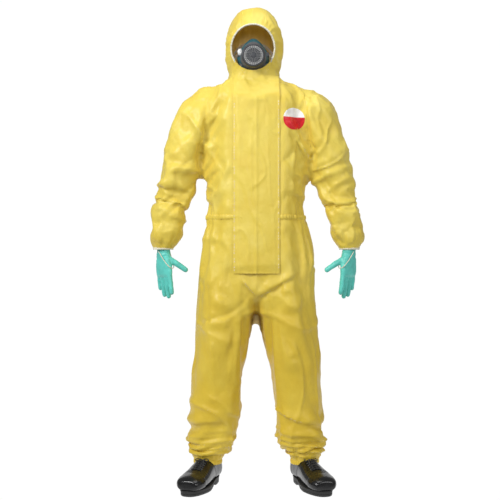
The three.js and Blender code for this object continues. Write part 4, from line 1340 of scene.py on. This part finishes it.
felt = turned_piece("prefilter_felt", (
    (0.0001, 0.0204), (0.0120, 0.0206), (0.0240, 0.0206), (0.0345, 0.0202), (0.0352, 0.0180), (0.0352, 0.0060),
    (0.0345, 0.0045), (0.0001, 0.0045)), CAP_HIGH.y, FELT)
for piece, body, slot, nodes in (
        (cup, "hood", "teal_rubber", ("respirator_facepiece",)),
        (housing, "hood", "grey_plastic", ("filter_housing",)),
        (cap_piece, "cap", "grey_plastic", ("filter_cap",)),
        (felt, "hood", "white_felt", ("prefilter_disc",))):
    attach(piece, body)
    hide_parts(*nodes)


def mask_plate():
    """The grey moulded plate over the cup that carries the filter, with a rim that rises towards the nose."""
    rings = ((-0.0700, 0.0470, 0.0600, 0.0445), (-0.0735, 0.0475, 0.0590, 0.0450), (-0.0780, 0.0465, 0.0560, 0.0445),
             (-0.0840, 0.0440, 0.0505, 0.0430), (-0.0895, 0.0425, 0.0450, 0.0420), (-0.0922, 0.0415, 0.0425, 0.0415),
             (-0.0922, 0.0350, 0.0350, 0.0350))
    sections = []
    for y, across, up, down in rings:
        points = []
        for k in range(72):
            a = 2 * math.pi * k / 72
            c, s = math.cos(a), math.sin(a)
            narrow = 1 - 0.30 * max(0, s) ** 1.5 * max(0, up - 0.040) / 0.036
            points.append(Vector((MASK.x + narrow * across * c, y + DEPTH_SHIFT - 0.0006,
                                  MASK.z + (up if s > 0 else down) * s)))
        sections.append(points)
    made = loft("mask_plate", sections, closed_ends=False, material=GREY)
    bm = bmesh.new()
    bm.from_mesh(made.data)
    bmesh.ops.recalc_face_normals(bm, faces=bm.faces)
    bm.to_mesh(made.data)
    bm.free()
    modify(made, "SOLIDIFY", thickness=0.0016, offset=1)
    modify(made, "SUBSURF", levels=1)
    return smooth(apply_modifiers(made))


plate = mask_plate()
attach(plate, "hood")


def strap_clips():
    """Two moulded clips on each side of the mask, where the straps pass through."""
    made = bmesh.new()
    for side in (1, -1):
        for lift, out in ((0.014, 0.052), (-0.026, 0.047)):
            centre = Vector((MASK.x + side * out, DEPTH_SHIFT - 0.064, MASK.z + lift))
            turn = Matrix.Rotation(side * 0.9, 4, "Z")
            block(made, centre, (0.016, 0.005, 0.017), turn)
            block(made, centre + Vector((side * 0.004, -0.002, 0)), (0.005, 0.006, 0.013), turn)
    return from_bmesh("strap_clips", made, GREY)


clips = strap_clips()
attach(clips, "hood")


# ---- gloves ----
def tube(name, points, radius, material, sides=8):
    """A round cord along points."""
    sections = []
    for i, p in enumerate(points):
        along = (points[min(i + 1, len(points) - 1)] - points[max(i - 1, 0)]).normalized()
        side = along.cross(Vector((0.03, 0.02, 1))).normalized()
        other = along.cross(side)
        sections.append([p + side * radius * math.cos(t) + other * radius * math.sin(t)
                         for t in np.linspace(0, 2 * math.pi, sides, endpoint=False)])
    return smooth(loft(name, sections, material=material))


def curve_through(points, steps=8):
    """Points on a smooth curve through the given ones."""
    table = refine([tuple(p) for p in points], (len(points) - 1) * steps + 1)
    return [Vector(p) for p in table]


# the hand hangs from the wrist at the origin; x runs from the little finger to the thumb
FINGERS = (
    ((-0.030, 0, -0.084), (-0.034, 0.003, -0.116), (-0.036, 0.007, -0.142), 0.0095),
    ((-0.010, 0, -0.090), (-0.012, 0.002, -0.130), (-0.013, 0.008, -0.166), 0.0103),
    ((0.011, 0, -0.090), (0.012, 0.002, -0.132), (0.012, 0.008, -0.172), 0.0106),
    ((0.031, 0, -0.084), (0.034, 0.001, -0.122), (0.035, 0.005, -0.158), 0.0103),
    ((0.018, 0.002, -0.028), (0.047, 0.024, -0.048), (0.066, 0.050, -0.074), 0.0118),
)
PALM_RINGS = ((-0.098, 0.038, 0.010), (-0.088, 0.043, 0.0145), (-0.060, 0.042, 0.0175), (-0.030, 0.0355, 0.0195),
              (-0.004, 0.0275, 0.0215), (0.034, 0.0255, 0.0225))


def finger(points, radius, palm):
    """A tapered, slightly bent finger through three points."""
    a, b, c = (Vector((p[0], p[1] * palm, p[2])) for p in points)
    path = [a.lerp(b, t).lerp(b.lerp(c, t), t) for t in np.linspace(0, 1, 12)]
    along = (path[-1] - path[0]).normalized()
    sections = []
    for i, p in enumerate(path):
        knuckle = 1 + 0.05 * math.exp(-((i - 5.5) / 1.2) ** 2)
        sections.append((p, radius * (1 - 0.14 * i / 11) * knuckle))
    tip = sections[-1][1]
    for angle in (25, 50, 72):
        turn = math.radians(angle)
        sections.append((path[-1] + along * tip * math.sin(turn), tip * math.cos(turn)))
    side = along.cross(Vector((0, 1, 0))).normalized()
    other = along.cross(side)
    return loft("finger", [[p + side * r * math.cos(t) + other * r * math.sin(t)
                            for t in np.linspace(0, 2 * math.pi, 18, endpoint=False)] for p, r in sections])


def glove(side_name, side):
    parts = [loft("palm", [[Vector((math.copysign(abs(math.cos(t)) ** 0.85, math.cos(t)) * a,
                                    math.copysign(abs(math.sin(t)) ** 0.85, math.sin(t)) * d, z))
                            for t in np.linspace(0, 2 * math.pi, 32, endpoint=False)]
                           for z, a, d in refine(PALM_RINGS, 24)])]
    parts += [finger(points[:3], points[3], -side) for points in FINGERS]
    made = join(parts, f"rubber_glove_{side_name}")
    modify(made, "REMESH", mode="VOXEL", voxel_size=0.0026)
    modify(made, "SMOOTH", factor=0.5, iterations=5)
    apply_modifiers(made)
    points = coordinates(made)
    normals = np.empty(len(points) * 3)
    made.data.vertices.foreach_get("normal", normals)
    creases = sharp_folds(points, (38, 38, 62), 5.0 + side) - 0.4
    wrist = bell(points[:, 2], -0.012, 0.022)
    raised = 0.0007 * creases + 0.0014 * creases * wrist
    set_coordinates(made, points + normals.reshape(-1, 3) * raised[:, None])
    bm = bmesh.new()
    bm.from_mesh(made.data)
    bmesh.ops.bisect_plane(bm, geom=bm.verts[:] + bm.edges[:] + bm.faces[:], plane_co=(0, 0, 0.030),
                           plane_no=(0, 0, 1), clear_outer=True)
    bm.to_mesh(made.data)
    bm.free()
    made.data.materials.clear()
    made.data.materials.append(GLOVE)
    modify(made, "SOLIDIFY", thickness=0.0009, offset=-1)
    apply_modifiers(made)
    return smooth(made)


# the elastic loop round the thumb, in the glove's own directions
LOOP = ((0.004, -0.026, -0.002), (0.016, -0.0245, -0.018), (0.030, -0.019, -0.040), (0.043, -0.006, -0.062),
        (0.036, 0.018, -0.064), (0.018, 0.0265, -0.042), (0.004, 0.0265, -0.002))


def glove_place(side):
    turn = math.pi + math.radians(48) if side > 0 else -math.radians(48)
    return (Matrix.Translation((side * 0.350, DEPTH_SHIFT - 0.004, 0.885))
            @ Matrix.Rotation(math.radians(side * 2), 4, "Y") @ Matrix.Rotation(turn, 4, "Z"))


for side, s in SIDES:
    piece = glove(side, s)
    loop = tube(f"thumb_loop_{side}", curve_through([(x, -s * y, z) for x, y, z in LOOP]), 0.0016, ELASTIC)
    for made, slot, node in ((piece, "glove_rubber", "glove"), (loop, "pale_elastic", "finger_loop")):
        made.data.transform(glove_place(s))
        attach(made, f"forearm_{side}")
        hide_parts(f"{node}_{side}")


# ---- boots ----
# the ankle is at the origin and the toe points to -Y; [y, half width, low, high]
FOOT_RINGS = (
    (0.070, 0.022, 0.028, 0.078), (0.062, 0.034, 0.022, 0.092), (0.030, 0.038, 0.018, 0.110),
    (-0.010, 0.039, 0.015, 0.112), (-0.060, 0.044, 0.014, 0.100), (-0.110, 0.050, 0.014, 0.084),
    (-0.160, 0.053, 0.014, 0.073), (-0.195, 0.048, 0.016, 0.066), (-0.216, 0.036, 0.020, 0.055),
)


def boot_upper(side_name, side):
    foot = loft("foot", [[Vector((math.copysign(abs(math.cos(t)) ** 0.83, math.cos(t)) * a, y,
                                  (lo + hi) / 2 + math.copysign(abs(math.sin(t)) ** 0.83, math.sin(t)) * (hi - lo) / 2))
                          for t in np.linspace(0, 2 * math.pi, 40, endpoint=False)]
                         for y, a, lo, hi in refine(FOOT_RINGS, 50)])
    shaft = loft("shaft", [[Vector((a * math.cos(t), 0.006 + d * math.sin(t), z))
                            for t in np.linspace(0, 2 * math.pi, 40, endpoint=False)]
                           for z, a, d in ((0.050, 0.037, 0.039), (0.090, 0.038, 0.042), (0.120, 0.037, 0.040),
                                           (0.157, 0.039, 0.042))])
    made = join([foot, shaft], f"polished_boot_{side_name}")
    modify(made, "REMESH", mode="VOXEL", voxel_size=0.0032)
    modify(made, "SMOOTH", factor=0.6, iterations=8)
    apply_modifiers(made)
    points = coordinates(made)
    normals = np.empty(len(points) * 3)
    made.data.vertices.foreach_get("normal", normals)
    normals = normals.reshape(-1, 3)
    x, y, z = points.T
    toe_cap = smoothstep(-0.163, -0.1655, y - 0.05 * x * x / 0.05)
    quarter = smoothstep(-0.052, -0.049, y + (z - 0.09) * 0.8) * (np.abs(x) > 0.018)
    heel_counter = smoothstep(0.034, 0.037, y + (z - 0.07) * 0.3) * smoothstep(0.096, 0.093, z)
    flex = np.sin((y + 0.3 * np.abs(x)) * 420) * bell(y, -0.135, 0.020) * smoothstep(0.055, 0.075, z)
    bulge = 0.0011 * toe_cap + 0.0012 * quarter + 0.0010 * heel_counter + 0.0008 * flex
    bulge += 0.0016 * noise_at(points, (16, 16, 16), 3.0 + side)
    points = points + normals * bulge[:, None]
    points[:, 2] = np.maximum(points[:, 2], 0.0205 + 0.006 * smoothstep(-0.05, 0.0, points[:, 1]))
    set_coordinates(made, points)
    bm = bmesh.new()
    bm.from_mesh(made.data)
    bmesh.ops.bisect_plane(bm, geom=bm.verts[:] + bm.edges[:] + bm.faces[:], plane_co=(0, 0, 0.154),
                           plane_no=(0, 0, 1), clear_outer=True)
    bm.to_mesh(made.data)
    bm.free()
    made.data.materials.clear()
    made.data.materials.append(BOOT)
    modify(made, "SOLIDIFY", thickness=0.0022, offset=-1)
    return smooth(apply_modifiers(made))


def outline(angle, grown):
    """The sole's outline at a turn round its middle: x and y."""
    y = -0.072 - 0.148 * math.sin(angle)
    toe = smoothstep(-0.02, -0.13, y)
    half = 0.037 + 0.0155 * toe
    c = math.copysign(abs(math.cos(angle)) ** (0.62 + 0.16 * toe), math.cos(angle))
    return c * (half + grown), y - grown * math.sin(angle)


def outsole(side_name):
    """A rubber sole in layers: tread, side wall with a line round it, and a welt; the heel stands behind a gap."""
    layers = ((0.0, -0.004), (0.0, -0.0015), (0.0015, 0.0), (0.0080, 0.0004), (0.0086, -0.0008), (0.0094, -0.0008),
              (0.0100, 0.0006), (0.0165, 0.0010), (0.0172, 0.0026), (0.0196, 0.0028), (0.0204, 0.0018), (0.0206, -0.006))
    sides = 120
    sections = []
    for z, grown in layers:
        points = []
        for k in range(sides):
            x, y = outline(2 * math.pi * k / sides, grown)
            arch = math.exp(-((y + 0.030) / 0.020) ** 4)
            heel = float(smoothstep(-0.055, -0.010, y))
            lug = 0.0012 * (math.sin(k * math.pi / 1.5) > 0) * (0.001 < z < 0.008)
            points.append(Vector((x * (1 - lug / 0.05), y, max(z * (1 + 0.32 * heel), 0.0065 * arch * (z < 0.009)))))
        sections.append(points)
    made = loft(f"rubber_outsole_{side_name}", sections, material=SOLE)
    return smooth(made, 40)


def boot_laces(side_name, boot_name):
    """Five crossing rows, eyelets beside them and a bow on top."""
    tree = surface_of(boot_name)

    def top(x, y, lift):
        hit = tree.ray_cast(Vector((x, y, 0.3)), -Z_AXIS)[0]
        return Vector((x, y, (hit.z if hit else 0.1) + lift))

    cords, eyelets = [], bmesh.new()
    for row in range(5):
        y = -0.062 - row * 0.0135
        wide = 0.0165 + row * 0.0006
        for s in (1, -1):
            line = [top(s * wide * (1 - 2 * t), y - 0.011 * t, 0.0018 + 0.0012 * math.sin(math.pi * t) * (s > 0))
                    for t in np.linspace(0, 1, 9)]
            cords.append(tube("cord", line, 0.0017, LACE))
            spot = top(s * wide, y, 0.0004)
            bmesh.ops.create_cone(eyelets, cap_ends=True, segments=14, radius1=0.0034, radius2=0.0026, depth=0.0018,
                                  matrix=Matrix.Translation(spot))
    knot = top(0, -0.060, 0.004)
    for s in (1, -1):
        loop = [knot, knot + Vector((s * 0.014, 0.004, 0.004)), knot + Vector((s * 0.026, -0.004, 0.001)),
                knot + Vector((s * 0.021, -0.013, -0.001)), knot + Vector((s * 0.006, -0.004, 0.002)), knot]
        cords.append(tube("cord", curve_through(loop), 0.0016, LACE))
        tail = [knot, knot + Vector((s * 0.008, -0.012, 0.001)), knot + Vector((s * 0.016, -0.028, -0.009))]
        cords.append(tube("cord", curve_through(tail), 0.0016, LACE))
    cords.append(from_bmesh("eyelets", eyelets, DARK_GREY))
    return join(cords, f"boot_lacing_{side_name}")


for side, s in SIDES:
    upper = boot_upper(side, s)
    lacing = boot_laces(side, upper.name)
    sole = outsole(side)
    place = Matrix.Translation((s * 0.183, DEPTH_SHIFT + 0.012, 0)) @ Matrix.Rotation(s * math.radians(18), 4, "Z")
    for piece in (upper, lacing, sole):
        piece.data.transform(place)
        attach(piece, f"lower_leg_{side}")
    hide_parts(f"outsole_{side}")
    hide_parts(f"boot_upper_{side}")
    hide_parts(f"laces_{side}")


# ---- CAD nodes that stay: their shape is right and they get their material ----
STAYING = {
    "upper_strap": WEBBING, "lower_strap": WEBBING, "valve_cover": CLEAR_WHITE, "zip_slider": ZIP_PLASTIC,
    "zip_pull": ZIP_PLASTIC, "zip_bottom_stop": ZIP_PLASTIC, "zip_tape_left": ZIP_TAPE, "zip_tape_right": ZIP_TAPE,
    "insole_left": FOAM, "insole_right": FOAM,
}
for name, material in STAYING.items():
    node = bpy.data.objects[name]
    if node.data.materials:
        node.material_slots[0].material = material
    else:
        node.data.materials.append(material)


# ---- studio ----
def area_light(name, place, target, size, energy):
    data = bpy.data.lights.new(name, "AREA")
    data.shape = "RECTANGLE"
    data.size, data.size_y = size
    data.energy = energy
    light = bpy.data.objects.new(name, data)
    bpy.context.scene.collection.objects.link(light)
    light.location = place
    light.rotation_euler = (Vector(target) - Vector(place)).to_track_quat("-Z", "Y").to_euler()


def studio():
    backdrop = bpy.data.materials.new("studio_white")
    backdrop.use_nodes = True
    shader = backdrop.node_tree.nodes["Principled BSDF"]
    shader.inputs["Base Color"].default_value = (0, 0, 0, 1)
    shader.inputs["Specular IOR Level"].default_value = 0
    shader.inputs["Emission Color"].default_value = (1, 1, 1, 1)
    shader.inputs["Emission Strength"].default_value = 1.02
    floor = mesh_object("studio_floor", ((-3, -0.30, -0.002), (3, -0.30, -0.002), (3, 6, -0.002), (-3, 6, -0.002)),
                        [(0, 1, 2, 3)], backdrop)
    wall = mesh_object("studio_wall", ((-3, 6, -0.01), (3, 6, -0.01), (3, 6, 4), (-3, 6, 4)), [(0, 1, 2, 3)], backdrop)
    world = bpy.data.worlds.new("studio_light")
    bpy.context.scene.world = world
    world.use_nodes = True
    world.node_tree.nodes["Background"].inputs["Color"].default_value = (1, 1, 1, 1)
    world.node_tree.nodes["Background"].inputs["Strength"].default_value = 0.25
    area_light("key", (-2.6, -2.8, 3.1), (0, 0, 1.15), (1.2, 1.4), 135)
    area_light("fill", (2.8, -2.8, 1.9), (0, 0, 1.0), (1.4, 2.0), 34)
    area_light("face", (0.0, -4.2, 1.75), (0, 0, 1.5), (0.8, 0.6), 34)
    area_light("top", (0.2, -0.6, 3.6), (0, 0, 1.0), (1.6, 1.6), 24)


studio()
bpy.context.scene.view_settings.view_transform = "Standard"
